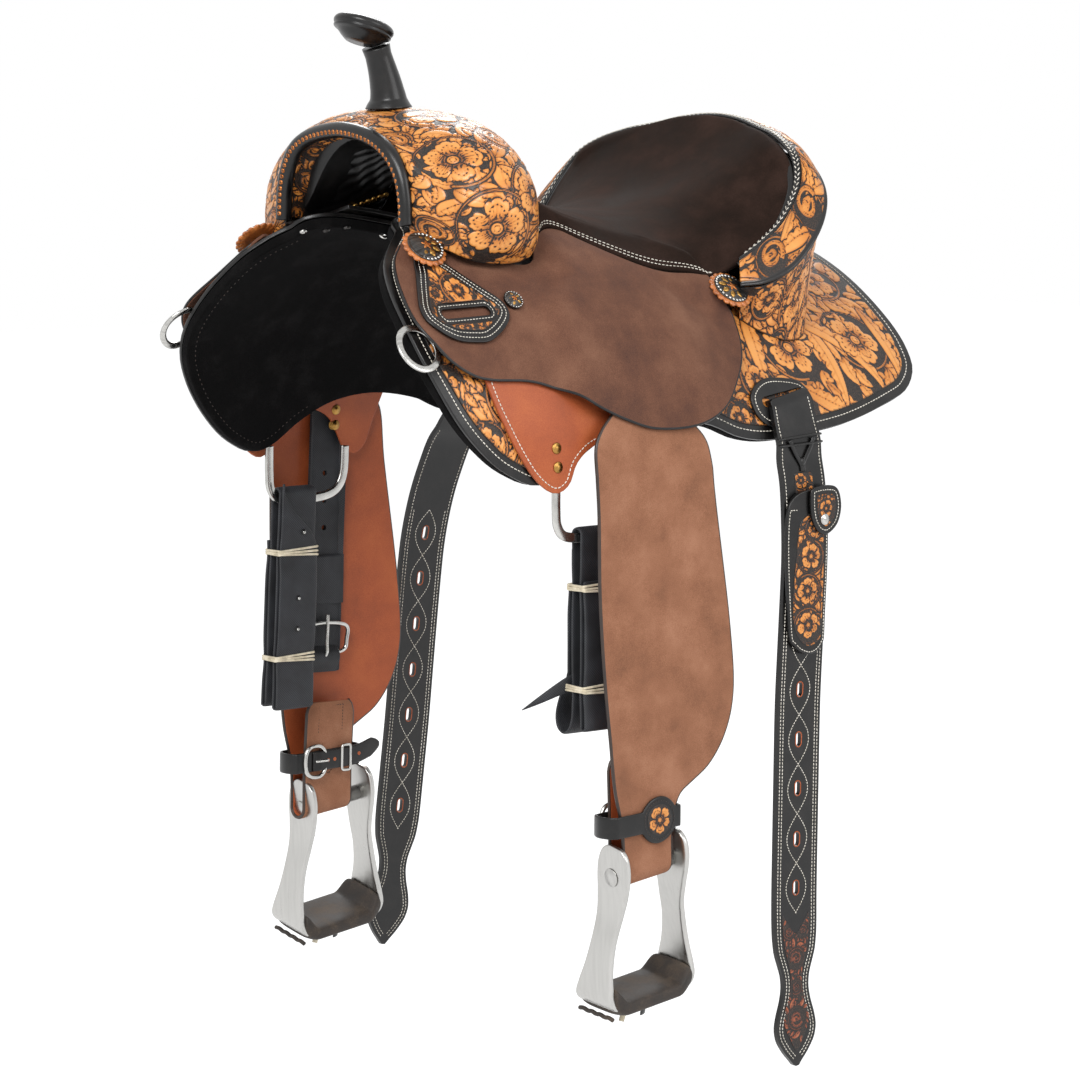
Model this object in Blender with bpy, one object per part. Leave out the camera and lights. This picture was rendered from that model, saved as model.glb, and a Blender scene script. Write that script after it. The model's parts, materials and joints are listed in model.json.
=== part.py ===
# Barrel racing saddle: the driving shape. Front is -Y, the near (left) side is +X, up is +Z.
import bpy
import bmesh
import numpy as np
from mathutils import Vector
from mathutils.geometry import delaunay_2d_cdt

for old in list(bpy.data.objects):
    bpy.data.objects.remove(old)

# Sizes in millimetres. Positions are stated from the level of the horn's foot less 215,
# and everything is dropped by REST at the end, so that the origin is where the back carries it.
REST = 95.0
SKIRT = 5.0
FELT = 10.0
LEATHER = 3.4
FENDER_X = 241.0
SWING_Y = -50.0
BOLT = (233.2, -55.0, -471.0)
STIRRUP_TILT = 8.0
STIRRUP_TURN = 14.0
HANG = (0.4, 1.6)
RING_X = 214.3
FRONT, REAR = -250.0, 300.0

GX, GW = np.polynomial.legendre.leggauss(12)
GX = (GX + 1) / 2
GW = GW / 2


def step(a, b, x):
    k = np.clip((np.asarray(x, float) - a) / (b - a), 0, 1)
    return k * k * (3 - 2 * k)


def slope(w, s, plain=False):
    s = np.maximum(s, 0)
    deg = 35 - 5 * w + (47 - 7 * w) * (s / 320) ** 1.4
    if not plain:
        deg = deg - (10 + 96 * w * (1 - w)) * np.exp(-((s / 70) ** 2)) + 13 * step(150, 280, s)
    return np.radians(deg)


def back(y, s, h=0.0, side=1):
    """Point of the side panel: y along the saddle, s down the side, h out from the skirt's underside."""
    y, s, h = np.broadcast_arrays(np.asarray(y, float), np.asarray(s, float), np.asarray(h, float))
    w = np.clip((y - FRONT) / (REAR - FRONT), 0, 1)
    draw = (25 - 15 * step(110, 240, s)) * step(-130, -285, y)
    t = slope(w[..., None], 115 * GX, True)
    x = 50 + 115 * (np.cos(t) @ GW)
    z = 145 - 63 * w - 115 * (np.sin(t) @ GW)
    t = slope(w[..., None], 115 + (s[..., None] - 115) * GX)
    x = x + (s - 115) * (np.cos(t) @ GW)
    z = z - (s - 115) * (np.sin(t) @ GW)
    t = slope(w, s)
    return np.stack([side * (x - draw + h * np.sin(t)), y + 0.84 * draw, z - 0.14 * draw + h * np.cos(t)], -1)


def curve(points, n, closed=False):
    """Smooth line through the points, as n points evenly spaced along it."""
    p = np.array(points, float)
    m = len(p)
    seg = m if closed else m - 1
    t = np.linspace(0, seg, 24 * seg + 1)
    i = np.minimum(t.astype(int), seg - 1)
    f = (t - i)[:, None]
    if closed:
        a, b, c, d = (p[(i + k) % m] for k in (-1, 0, 1, 2))
    else:
        q = np.vstack([2 * p[0] - p[1], p, 2 * p[-1] - p[-2]])
        a, b, c, d = (q[i + k] for k in (0, 1, 2, 3))
    out = 0.5 * (2 * b + (c - a) * f + (2 * a - 5 * b + 4 * c - d) * f**2 + (3 * b - a - 3 * c + d) * f**3)
    gone = np.concatenate([[0], np.cumsum(np.linalg.norm(np.diff(out, axis=0), axis=1))])
    at = np.linspace(0, gone[-1], n, endpoint=not closed)
    return np.stack([np.interp(at, gone, out[:, k]) for k in range(p.shape[1])], 1)


def length(points, closed=True):
    p = np.array(points, float)
    if closed:
        p = np.vstack([p, p[:1]])
    return np.linalg.norm(np.diff(p, axis=0), axis=1).sum()


def inside(p, loop):
    x, y = p[:, 0][:, None], p[:, 1][:, None]
    ax, ay = loop[:, 0], loop[:, 1]
    bx, by = np.roll(ax, -1), np.roll(ay, -1)
    cross = ((ay > y) != (by > y)) & (x < (bx - ax) * (y - ay) / (by - ay + 1e-12) + ax)
    return cross.sum(1) % 2 == 1


def node(name, points, faces):
    points = np.array(points, float)
    if name.startswith(("fender", "stirrup", "leather_buckle", "hobble", "tread", "bolt_hole")):
        hang = np.radians(HANG[0] if name.endswith("near") else HANG[1])
        y, z = points[:, 1] - SWING_Y, points[:, 2] + 20
        points[:, 1] = SWING_Y + y * np.cos(hang) + z * np.sin(hang)
        points[:, 2] = -20 + z * np.cos(hang) - y * np.sin(hang)
    mesh = bpy.data.meshes.new(name)
    mesh.from_pydata(((points - (0, 0, REST)) / 1000).tolist(), [], [list(map(int, f)) for f in faces])
    work = bmesh.new()
    work.from_mesh(mesh)
    bmesh.ops.recalc_face_normals(work, faces=work.faces)
    if work.calc_volume(signed=True) < 0:
        bmesh.ops.reverse_faces(work, faces=work.faces)
    work.to_mesh(mesh)
    work.free()
    made = bpy.data.objects.new(name, mesh)
    bpy.context.scene.collection.objects.link(made)
    return made


def sheet(name, outline, surface, low, high, holes=(), grid=(60, 32), spacing=26, exact=False):
    """A sheet of even or varying thickness over a surface, with the outline in the surface's own (a, b)."""
    rim = np.array(outline, float) if exact else curve(outline, max(12, int(length(outline) / spacing)), True)
    loops = [rim] + [np.array(hole, float) for hole in holes]
    lo, hi = rim.min(0), rim.max(0)
    a = np.arange(np.floor(lo[0] / grid[0]) * grid[0], hi[0] + grid[0], grid[0])
    b = np.arange(np.floor(lo[1] / grid[1]) * grid[1], hi[1] + grid[1], grid[1])
    inner = np.array(np.meshgrid(a, b)).reshape(2, -1).T
    inner = inner[inside(inner, rim)]
    for loop in loops:
        ends = np.roll(loop, -1, axis=0)
        way = ends - loop
        t = ((inner[:, None] - loop) * way).sum(-1) / ((way**2).sum(-1) + 1e-9)
        near = loop + way * np.clip(t, 0, 1)[..., None]
        inner = inner[np.linalg.norm(inner[:, None] - near, axis=-1).min(1) > 9]
    for hole in loops[1:]:
        inner = inner[~inside(inner, hole)]
    flat = np.vstack(loops + [inner])
    edges = []
    start = 0
    for loop in loops:
        n = len(loop)
        edges += [(start + k, start + (k + 1) % n) for k in range(n)]
        start += n
    verts, _, tris, *_ = delaunay_2d_cdt([Vector(p) for p in flat], edges, [], 0, 1e-6)
    flat = np.array([tuple(v) for v in verts])
    tris = np.array([t for t in tris if len(t) == 3])
    middle = flat[tris].mean(1)
    keep = inside(middle, rim)
    for hole in loops[1:]:
        keep &= ~inside(middle, hole)
    tris = tris[keep]
    used, tris = np.unique(tris, return_inverse=True)
    tris = tris.reshape(-1, 3)
    flat = flat[used]
    n = len(flat)

    def at(h):
        return surface(flat[:, 0], flat[:, 1], h(flat[:, 0], flat[:, 1]) if callable(h) else h)

    ends = np.concatenate([tris[:, [0, 1]], tris[:, [1, 2]], tris[:, [2, 0]]])
    both = {tuple(e) for e in ends.tolist()}
    rim_edges = [e for e in ends.tolist() if (e[1], e[0]) not in both]
    faces = tris.tolist() + (tris[:, ::-1] + n).tolist()
    faces += [[e[1], e[0], e[0] + n, e[1] + n] for e in rim_edges]
    return node(name, np.vstack([at(high), at(low)]), faces)


def loft(name, rings, around=False):
    """Closed rings of equal count joined in turn; the ends are capped unless the rings go all the way around."""
    rings = np.array(rings, float)
    m, n = rings.shape[:2]
    faces = []
    for i in range(m if around else m - 1):
        for k in range(n):
            j = (i + 1) % m
            faces.append([i * n + k, i * n + (k + 1) % n, j * n + (k + 1) % n, j * n + k])
    points = rings.reshape(-1, 3)
    if not around:
        points = np.vstack([points, rings[0].mean(0), rings[-1].mean(0)])
        for k in range(n):
            faces.append([m * n, (k + 1) % n, k])
            faces.append([m * n + 1, (m - 1) * n + k, (m - 1) * n + (k + 1) % n])
    return node(name, points, faces)


def lathe(name, centre, axis, profile, n=24, across=None, squash=1.0):
    """A turned body: profile is (radius, height) from bottom to top, both ends on the axis or capped flat."""
    axis = np.array(axis, float) / np.linalg.norm(axis)
    u = np.cross(axis, across if across is not None else (0.3, 0.9, 0.1))
    u = u / np.linalg.norm(u)
    v = np.cross(axis, u)
    t = np.linspace(0, 2 * np.pi, n, endpoint=False)[:, None]
    rings = [np.array(centre) + axis * h + r * (np.cos(t) * u + np.sin(t) * v * squash) for r, h in profile]
    return loft(name, rings)


def tube(name, path, radius, n=8, around=False, flatten=1.0, up=(0, 0, 1)):
    path = np.array(path, float)
    way = np.gradient(path, axis=0) if not around else np.roll(path, -1, 0) - np.roll(path, 1, 0)
    way = way / np.linalg.norm(way, axis=1)[:, None]
    u = np.cross(way, up)
    u = u / np.linalg.norm(u, axis=1)[:, None]
    v = np.cross(way, u)
    t = np.linspace(0, 2 * np.pi, n, endpoint=False)[None, :, None]
    return loft(name, path[:, None] + radius * (np.cos(t) * u[:, None] + flatten * np.sin(t) * v[:, None]), around)


def band(name, path, thick, low, high, flat_axis=1, round_ends=0):
    """A strap: a centre line in the other two axes, a thickness across it, and its width along one axis."""
    path = np.array(path, float)
    way = np.gradient(path, axis=0)
    way = way / np.linalg.norm(way, axis=1)[:, None]
    across = np.stack([-way[:, 1], way[:, 0]], 1) * thick / 2
    low = np.broadcast_to(low, len(path)).astype(float)
    high = np.broadcast_to(high, len(path)).astype(float)
    rings = np.zeros((len(path), 4, 3))
    other = [k for k in range(3) if k != flat_axis]
    for i, (sign, edge) in enumerate(((1, low), (1, high), (-1, high), (-1, low))):
        rings[:, i, other] = path + sign * across
        rings[:, i, flat_axis] = edge
    return loft(name, rings)


def upright(x):
    """A plane at x, outward."""
    return lambda y, z, h: np.stack([x + h + 0 * y, y, z], -1)


def mirror(points):
    return [(-x, y, z) for x, y, z in points]


# Side panel outlines, (y, s)
SKIRT_EDGE = [
    (-226, 42), (-234, 60), (-256, 82), (-274, 103), (-284, 131), (-286, 163), (-281, 201), (-267, 238), (-247, 270),
    (-218, 297), (-192, 311), (-168, 317), (-142, 308), (-110, 285), (-70, 264), (-20, 254), (33, 258), (69, 269),
    (111, 270), (182, 257), (222, 246), (264, 230), (291, 217), (311, 196), (318, 172), (320, 148), (319, 120), (317, 85),
    (315, 46), (313, 10), (306, -30), (286, -38), (260, -30), (230, 0), (150, 8), (0, 8), (-120, 8), (-190, 20),
]
JOCKEY_EDGE = [
    (-249, 87), (-268, 108), (-279, 139), (-283, 176), (-267, 204), (-239, 222), (-216, 227), (-176, 227), (-152, 231),
    (-131, 238), (-111, 249), (-79, 260), (-46, 266), (2, 262), (41, 246), (68, 221), (88, 193), (99, 158),
    (93, 136), (88, 116),
]
SEAM = [(-97, 82), (-74, 67), (-55, 65), (-41, 78), (-17, 94), (10, 107), (36, 113), (68, 112), (84, 113)]
UNDER_SWELL = [(-112, 104), (-150, 106), (-190, 100), (-225, 92)]
PLATE_EDGE = [
    (-200, 150), (-219, 205), (-216, 240), (-200, 275), (-182, 302), (-166, 317), (-150, 323), (-136, 315), (-127, 296),
    (-108, 281), (-84, 276), (-62, 284), (-50, 300), (-42, 313), (-28, 318), (-14, 308), (-6, 286), (6, 250), (10, 205),
    (0, 150), (-100, 140),
]
KEEPER_EDGE = [
    (-250, 110), (-257, 126), (-266, 145), (-275, 164), (-275, 178), (-264, 189), (-246, 195), (-225, 196), (-208, 194),
    (-190, 184), (-177, 172), (-174, 161), (-179, 151), (-192, 140), (-206, 127), (-219, 114), (-234, 104),
]
SLOT_PLATE = [(88, 228), (87, 246), (100, 258), (128, 261), (152, 252), (162, 238), (158, 222), (145, 214), (110, 214)]
BAR_EDGE = [(-176, 14), (-180, 40), (-160, 64), (-60, 66), (60, 68), (160, 70), (205, 62), (215, 38), (205, 14), (100, 6), (-100, 6)]


def jockey_low(y, s):
    lift = step(110, 170, s)
    over_plate = step(-272, -236, y)
    over_fender = step(-150, -115, y - 45 * (1 - lift)) * (1 - step(5, 85, y))
    over_dee = np.exp(-(((y + 266) / 42) ** 2) - ((s - 192) / 40) ** 2) * (1 - over_plate)
    near_seam = step(165, 118, s) * step(-120, -75, y)
    return 6.0 + 4.2 * over_plate + 9.5 * over_dee + 13.0 * np.maximum(over_fender, near_seam)


def jockey_high(y, s):
    return jockey_low(y, s) + LEATHER


def slot_loop(a, b, half, n=5):
    a, b = np.array(a, float), np.array(b, float)
    way = (b - a) / np.linalg.norm(b - a)
    side = np.array([-way[1], way[0]])
    t = np.linspace(0, np.pi, n)[:, None]
    return np.vstack([b + half * (np.sin(t) * way + np.cos(t) * side), a + half * (-np.sin(t) * way - np.cos(t) * side)])


def panel(side):
    return lambda y, s, h: back(y, s, h, side)


for side, tag in ((1, "near"), (-1, "off")):
    surf = panel(side)
    keeper_slot = slot_loop((-249, 171), (-200, 165), 4.5)
    billet_slot = slot_loop((103, 237), (153, 226), 4.5)
    sheet(f"skirt_lining_{tag}", SKIRT_EDGE, surf, -0.6 - FELT, -0.6)
    sheet(f"skirt_{tag}", SKIRT_EDGE, surf, 0.0, SKIRT)
    sheet(f"tree_bar_{tag}", BAR_EDGE, surf, 8.0, 11.8)
    sheet(f"rigging_plate_{tag}", PLATE_EDGE, surf, 6.2, 9.4)
    sheet(f"seat_jockey_{tag}", JOCKEY_EDGE + [(y, s + 1.8) for y, s in SEAM[::-1]] + UNDER_SWELL, surf, jockey_low, jockey_high, grid=(36, 32))
    sheet(f"latigo_keeper_{tag}", KEEPER_EDGE, surf, lambda y, s: jockey_high(y, s) + 1.2,
          lambda y, s: jockey_high(y, s) + 4.6, holes=[keeper_slot])
    sheet(f"billet_slot_plate_{tag}", SLOT_PLATE, surf, 5.6, 8.8, holes=[billet_slot], spacing=18)

    # Conchos: a scalloped leather rosette with a domed metal face, turned as one
    for name, y, s, h, r, tall in (("front_concho", -238, 103, 13.9, 21, 8), ("rear_concho", 101, 133, 23.5, 21, 8),
                                   ("spot_concho", -162, 152, 14.9, 9.5, 6)):
        h = float(jockey_high(y, s)) + (7.0 if name == "front_concho" else 0.45)
        h = 26.6 if name == "rear_concho" else h
        here, out = back(y, s, h, side), back(y, s, h + 10, side)
        edge = [(r * 0.6, 0.0), (r, 0.4), (r, 2.6), (r * 0.78, 3.4), (r * 0.62, tall * 0.75), (r * 0.3, tall)]
        lathe(f"{name}_{tag}", here, out - here, edge, 24)

    # Flat dee for the breast collar, held at the skirt's front edge
    t = np.linspace(0, 2 * np.pi, 20, endpoint=False)
    wide = 20.5 + 0 * t
    a, b = -263 + 22 * np.cos(t) - 6 * np.sin(t), 196 + 21 * np.sin(t) + 8 * np.cos(t)
    rings = []
    for k in range(20):
        ring = []
        for dr, dh in ((1.0, 4.6), (1.0, 7.4), (0.72, 7.4), (0.72, 4.6)):
            y, s = -263 + (a[k] + 263) * dr, 196 + (b[k] - 196) * dr
            ring.append(back(y, s, dh - 0.0, side))
        rings.append(ring)
    # lifted clear of the jockey's edge by a forward shift
    loft(f"breast_dee_{tag}", np.array(rings) + (0, -19, 0), around=True)

    # Rigging ring: a flat U under the two legs of the plate
    ring = curve([(-142.8, -113), (-143, -140), (-141, -156), (-130, -165.5), (-97, -167), (-74, -165), (-60, -158),
                  (-53, -144), (-51, -118)], 30)
    way = np.gradient(ring, axis=0)
    way = way / np.linalg.norm(way, axis=1)[:, None]
    out = np.stack([-way[:, 1], way[:, 0]], 1)
    rings = np.zeros((30, 4, 3))
    for k, (dx, dn) in enumerate(((-2, -4.5), (2, -4.5), (2, 4.5), (-2, 4.5))):
        rings[:, k, 0] = side * (RING_X + dx)
        rings[:, k, 1:] = ring + out * dn
    loft(f"rigging_ring_{tag}", rings)

    # Folded strap hanging in the ring: one band, laid in layers
    def arc(cx, cz, r, a0, a1, n=5):
        t = np.radians(np.linspace(a0, a1, n))
        return [(cx + r * np.cos(q), cz + r * np.sin(q)) for q in t]

    low = -340 if side > 0 else -366
    fore = -119.5 if side > 0 else -135.5
    X = [RING_X - 12, RING_X - 6, RING_X, RING_X + 6, RING_X + 12]
    path = [(X[0], -150)] + arc((X[0] + X[1]) / 2, low, 3, 180, 360)
    if side > 0:
        path = [(X[0], -212), (X[0], -284), (198, -300), (190, -316), (186, -330), (188, -341), (196, -346), (204, -341),
                (208, -330), (X[1], -316), (X[1], -300)]
    path += arc(RING_X, -164.4 if side > 0 else -161.0, 6, 180, 0, 7)
    path += [(X[3], low + 2)] + arc((X[3] + X[4]) / 2, low + 2, 3, 180, 360)[1:]
    path += [(X[4], -206)]
    lean = np.array([(z + 158) * (0.05 if side < 0 else 0.0) for x, z in path])
    path = [(side * x, z) for x, z in path]
    band(f"{'latigo' if side > 0 else 'off_billet'}_bundle_{tag}", path, 2.9, fore + lean, fore + 44.5 + lean)

    # Fender: one sheet from under the jockey down round the bolt and back up inside
    FX = [(-30, 223.0), (-45, 229.0), (-60, 234.0), (-75, 238.0), (-90, 240.6), (-110, 242.6), (-135, 243.0), (-500, 243.0)]
    fz, fx = np.array([p[0] for p in FX][::-1]), np.array([p[1] for p in FX][::-1])

    def fender_x(z):
        return np.interp(z, fz, fx)

    bz = BOLT[2]
    left = [(-76, -34), (-80, -42), (-92, -56), (-108, -70), (-117, -84), (-116, -149), (-114, -221), (-108, -293), (-101, -349), (-95, -395), (-86, -425), (-84.2, -446), (-84, bz)]
    right = [(-26, -34), (-23, -42), (-14, -56), (0, -70), (13, -84), (22, -140), (37, -228), (46, -300), (45, -330), (38, -352), (22, -378), (0, -394),
             (-18, -404), (-26, -425), (-28.5, -446), (-28, bz)]
    zs = np.array([-34, -42, -54, -68, -84, -104, -140, -180, -220, -260, -295, -320, -340, -358, -376, -392, -405, -420,
                   -440, bz])
    lw = np.array([p[1] for p in left[::-1]]), np.array([p[0] for p in left[::-1]])
    rw = np.array([p[1] for p in right[::-1]]), np.array([p[0] for p in right[::-1]])
    y0, y1 = np.interp(zs, *lw), np.interp(zs, *rw)
    path = [(fender_x(z), z) for z in zs]
    turn = np.radians(np.linspace(0, -180, 9))[1:]
    rb = 243.0 - BOLT[0]
    path += [(BOLT[0] + rb * np.cos(q), bz + rb * np.sin(q)) for q in turn]
    path += [(223.6, -460), (223.8, -450), (223.8, -440), (223.4, -427), (222.6, -408), (221.6, -388)]
    y0 = np.concatenate([y0, np.full(14, -84.0)])
    y1 = np.concatenate([y1, np.full(14, -28.0)])
    path = np.array(path)
    way = np.gradient(path, axis=0)
    way = way / np.linalg.norm(way, axis=1)[:, None]
    out = np.stack([-way[:, 1], way[:, 0]], 1)
    lean = np.tan(np.radians(STIRRUP_TILT)) * step(-400, -455, path[:, 1])
    rings = np.zeros((len(path), 6, 3))
    for k, (d, f) in enumerate(((1.9, 0), (1.9, 0.5), (1.9, 1), (-1.9, 1), (-1.9, 0.5), (-1.9, 0))):
        y = y0 + (y1 - y0) * f
        rings[:, k, 0] = side * (path[:, 0] + out[:, 0] * d)
        rings[:, k, 1] = y
        rings[:, k, 2] = path[:, 1] + out[:, 1] * d + lean * (y - BOLT[1])
    loft(f"fender_{tag}", rings)

    # Stirrup leather with its sleeve, on the fender's inner face
    zs = np.array([-60, -68, -78, -92, -112, -140, -226, -228, -276, -278, -343])
    rings = []
    for z in zs:
        x = fender_x(z) - 2.6
        deep = 6.2 if -277 <= z <= -227 else 3.4
        wide = 25 if -277 <= z <= -227 else 22
        rings.append([(side * x, -55 - wide, z), (side * x, -55 + wide, z), (side * (x - deep), -55 + wide, z),
                      (side * (x - deep), -55 - wide, z)])
    loft(f"stirrup_leather_{tag}", rings)

    # Wire buckle on the leather, with its middle bar
    frame = curve([(-81, -298), (-82, -312), (-78, -322), (-55, -325), (-32, -322), (-28, -312), (-29, -298), (-55, -294)], 24, True)
    tube(f"leather_buckle_{tag}", [(side * 234.4, y, z) for y, z in frame], 2.0, 6, True, up=(1, 0, 0))

    # Hobble strap round both layers of the leg, with its round outer end
    lean = np.tan(np.radians(STIRRUP_TILT * 0.45))
    loop = curve([(245.2, -96), (246.8, -88), (246.8, -26), (245.6, -20.5), (238, -18), (226, -18), (220.4, -21), (219, -28),
                  (219, -90), (221, -98), (229, -101.5), (239, -100.5)], 72, True)
    round_end = np.sqrt(np.maximum(21.5**2 - (loop[:, 1] + 46) ** 2, 0)) * (loop[:, 0] > 245.5)
    tall = np.maximum(10.0, round_end)
    way = np.roll(loop, -1, 0) - np.roll(loop, 1, 0)
    way = way / np.linalg.norm(way, axis=1)[:, None]
    out = np.stack([way[:, 1], -way[:, 0]], 1) * 1.3
    rings = np.zeros((72, 4, 3))
    for k, (d, dz) in enumerate(((1, -tall), (1, tall), (-1, tall), (-1, -tall))):
        q = loop + d * out
        rings[:, k, 0] = side * q[:, 0]
        rings[:, k, 1] = q[:, 1]
        rings[:, k, 2] = -427 + dz + lean * (q[:, 1] - BOLT[1])
    loft(f"hobble_strap_{tag}", rings, around=True)

    # Stirrup: one bent arm-and-base bar; the bolt goes through both arms
    tilt = np.radians(STIRRUP_TILT)
    turn = np.radians(STIRRUP_TURN)
    ey, plumb = np.array([0, np.cos(tilt), np.sin(tilt)]), np.array([0, -np.sin(tilt), np.cos(tilt)])
    ez = plumb * np.cos(turn) + np.array([np.sin(turn), 0, 0])
    ex = np.array([np.cos(turn), 0, 0]) - plumb * np.sin(turn)
    centre = np.array([side * BOLT[0], BOLT[1], BOLT[2]])
    half = [(35.4, 28, 6, 20), (35.6, 22, 6.5, 34), (35.8, 10, 7, 41), (35.8, -4, 7, 41), (36, -20, 7, 37), (38.0, -40, 7, 31),
            (42.6, -62, 7.5, 29), (46.6, -86, 8, 34), (49, -106, 8.5, 44), (49, -118, 9, 50), (44, -125, 9, 52), (34, -127.5, 8, 52)]
    prof = np.array(half)
    full = np.vstack([prof * (-1, 1, 1, 1), [(0, -128, 8, 52)], prof[::-1]])
    line = full[:, :2]
    way = np.gradient(line, axis=0)
    way = way / np.linalg.norm(way, axis=1)[:, None]
    out = np.stack([-way[:, 1], way[:, 0]], 1)
    rings = []
    for (py, pz, th, wd), (oy, oz) in zip(full, out):
        ring = []
        for dx, dn in ((-0.5, -0.22), (-0.5, 0.22), (-0.4, 0.5), (0.4, 0.5), (0.5, 0.22), (0.5, -0.22), (0.4, -0.5), (-0.4, -0.5)):
            yy, zz = py + oy * th * dn, pz + oz * th * dn
            ring.append(centre + dx * wd * ex + yy * ey + zz * ez)
        rings.append(ring)
    stirrup = loft(f"stirrup_{tag}", rings)
    cutter = lathe(f"bolt_hole_{tag}", centre, ey, [(6.0, -60), (6.0, 60)], 20)
    cutter.hide_render = True
    cutter.display_type = "WIRE"
    cut = stirrup.modifiers.new("bolt hole", "BOOLEAN")
    cut.operation = "DIFFERENCE"
    cut.object = cutter
    cut.solver = "EXACT"
    lathe(f"stirrup_bolt_{tag}", centre, ey, [(9, -43.8), (9, -39.9), (5.6, -39.6), (5.6, -31.4), (7.5, -31.2), (7.5, 31.2), (5.6, 31.4), (5.6, 39.6), (9, 39.9),
                                                 (9, 43.8)], 20)

    # Tread pad: a sleeve round the base of the stirrup
    t = [(-0.5, -0.5), (-0.5, 0.5), (0.5, 0.5), (0.5, -0.5)]
    rings = []
    for y in (-33.5, 33.5):
        z = -127.8
        rings.append(([centre + dx * 60 * ex + y * ey + (z + dn * 17.5) * ez for dx, dn in t],
                      [centre + dx * 53.4 * ex + y * ey + (z + dn * 11) * ez for dx, dn in t]))
    outer = np.array([r[0] for r in rings])
    inner = np.array([r[1] for r in rings])
    m = len(rings)
    points = np.vstack([outer.reshape(-1, 3), inner.reshape(-1, 3)])
    faces = []
    for i in range(m - 1):
        for k in range(4):
            a, b = i * 4 + k, i * 4 + (k + 1) % 4
            faces.append([a, b, b + 4, a + 4])
            faces.append([4 * m + a, 4 * m + a + 4, 4 * m + b + 4, 4 * m + b])
    for i in (0, m - 1):
        for k in range(4):
            a, b = i * 4 + k, i * 4 + (k + 1) % 4
            faces.append([a, b, 4 * m + b, 4 * m + a])
    node(f"tread_pad_{tag}", points, faces)

    # Rear billet, hanging from the slot; the off one springs outward and clears the stirrup
    head = back(128, [231.5, 231.5, 233, 238, 250, 262, 274], [6.2, 10, 12.6, 13.4, 13.2, 13.4, 13.6])[:, [0, 2]]
    if side > 0:
        down = [(238, -112), (238.4, -140), (238.4, -250), (238.4, -385), (238.4, -545), (238.4, -562), (238.4, -577),
                (238.4, -589), (238.4, -602), (238.4, -614), (238.4, -628), (238.4, -641), (238.4, -655), (238.4, -669), (238.4, -683)]
        middle = np.interp(np.vstack([head, down])[:, 1],
                           [-683, -525, -336, -198, -123, -98, -60, 0], [131, 128, 131, 139, 136, 127, 127, 128])
    else:
        down = [(249, -112), (262, -140), (273, -230), (280, -400), (283, -502), (283.3, -519), (283.6, -534), (283.9, -546),
                (284.2, -559), (284.5, -571), (284.7, -585), (284.9, -597), (285.1, -611), (285.3, -625), (285.4, -638)]
        middle = np.interp(np.vstack([head, down])[:, 1],
                           [-640, -590, -411, -224, -176, -132, -100, -60, 0], [46, 57, 77, 92, 101, 115, 123, 128, 128])
    line = np.vstack([head, down])
    wide = np.array([23, 24, 25, 26, 26.5, 27, 27, 27, 27, 27, 27, 27, 25.8, 21.5, 17.2, 15.6, 17.4, 22.4, 25.6, 23, 13.5, 2.5])
    fade = 1 - step(-50, -110, line[:, 1])
    tilt_at = -0.22 * fade + (0.0 if side > 0 else np.tan(np.radians(6.0))) * (1 - fade)
    line[:, 0] *= side
    way = np.gradient(line, axis=0)
    way = way / np.linalg.norm(way, axis=1)[:, None]
    out = np.stack([-way[:, 1], way[:, 0]], 1) * 2.4
    rings = np.zeros((len(line), 4, 3))
    for k, (d, e) in enumerate(((1, -1), (1, 1), (-1, 1), (-1, -1))):
        z = line[:, 1] + d * out[:, 1]
        rings[:, k, 0] = line[:, 0] + d * out[:, 0]
        rings[:, k, 1] = middle + e * wide * np.cos(np.arctan(tilt_at))
        rings[:, k, 2] = z - e * wide * np.sin(np.arctan(tilt_at))
    loft(f"rear_billet_{tag}", rings)

# Sheath on the near billet with its snap flap
sheet("billet_sheath_near", [(113, -152), (113, -262), (121, -284), (138, -292), (153, -284), (157, -262), (157, -152)],
      upright(241.3), 0.0, 7.0, grid=(40, 40))
sheet("sheath_flap_near", [(138, -136), (134, -146), (136, -164), (144, -177), (156, -180), (169, -170), (173, -152), (165, -136)],
      upright(249.0), 0.0, 3.0, grid=(40, 40), spacing=12)

# Fork under the swell: arch sections from the near foot over the top to the off foot
IN = [(114, 104), (100, 112), (86, 124), (75, 138), (66, 151), (55, 164), (40, 176), (21, 184), (0, 186)]
OUT = [(151, 76), (166, 93), (172, 118), (169, 144), (155, 166), (133, 184), (104, 198), (62, 209), (0, 214)]
arch_in = curve(IN + [(-x, z) for x, z in IN[-2::-1]], 25)
arch_out = curve(OUT + [(-x, z) for x, z in OUT[-2::-1]], 25)
SHAPE = [(0, -197), (0.28, -202), (0.55, -200), (0.78, -189), (0.94, -172), (1.0, -154), (0.96, -135), (0.84, -118),
         (0.6, -105), (0.25, -99), (0, -99)]


def section(k, inset):
    a, b = arch_in[k], arch_out[k]
    size = np.linalg.norm(b - a)
    way = (b - a) / size
    pts = np.array([(q * size, y) for q, y in SHAPE])
    if inset:
        t = np.gradient(pts, axis=0)
        t = t / np.linalg.norm(t, axis=1)[:, None]
        pts = pts + np.stack([-t[:, 1], t[:, 0]], 1) * -inset
        pts[[0, -1], 0] = 0
    return np.stack([a[0] + way[0] * pts[:, 0], pts[:, 1], a[1] + way[1] * pts[:, 0]], 1)


def inset_sign():
    a = section(12, 0)[:, 2].max()
    return 1 if section(12, 3)[:, 2].max() < a else -1


turned = inset_sign()
cover = [np.vstack([section(k, 0), section(k, turned * 3.2)[::-1]]) for k in range(25)]
loft("swell_cover", cover)
loft("tree_fork", [section(k, turned * 5.2) for k in range(1, 24)])

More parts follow.
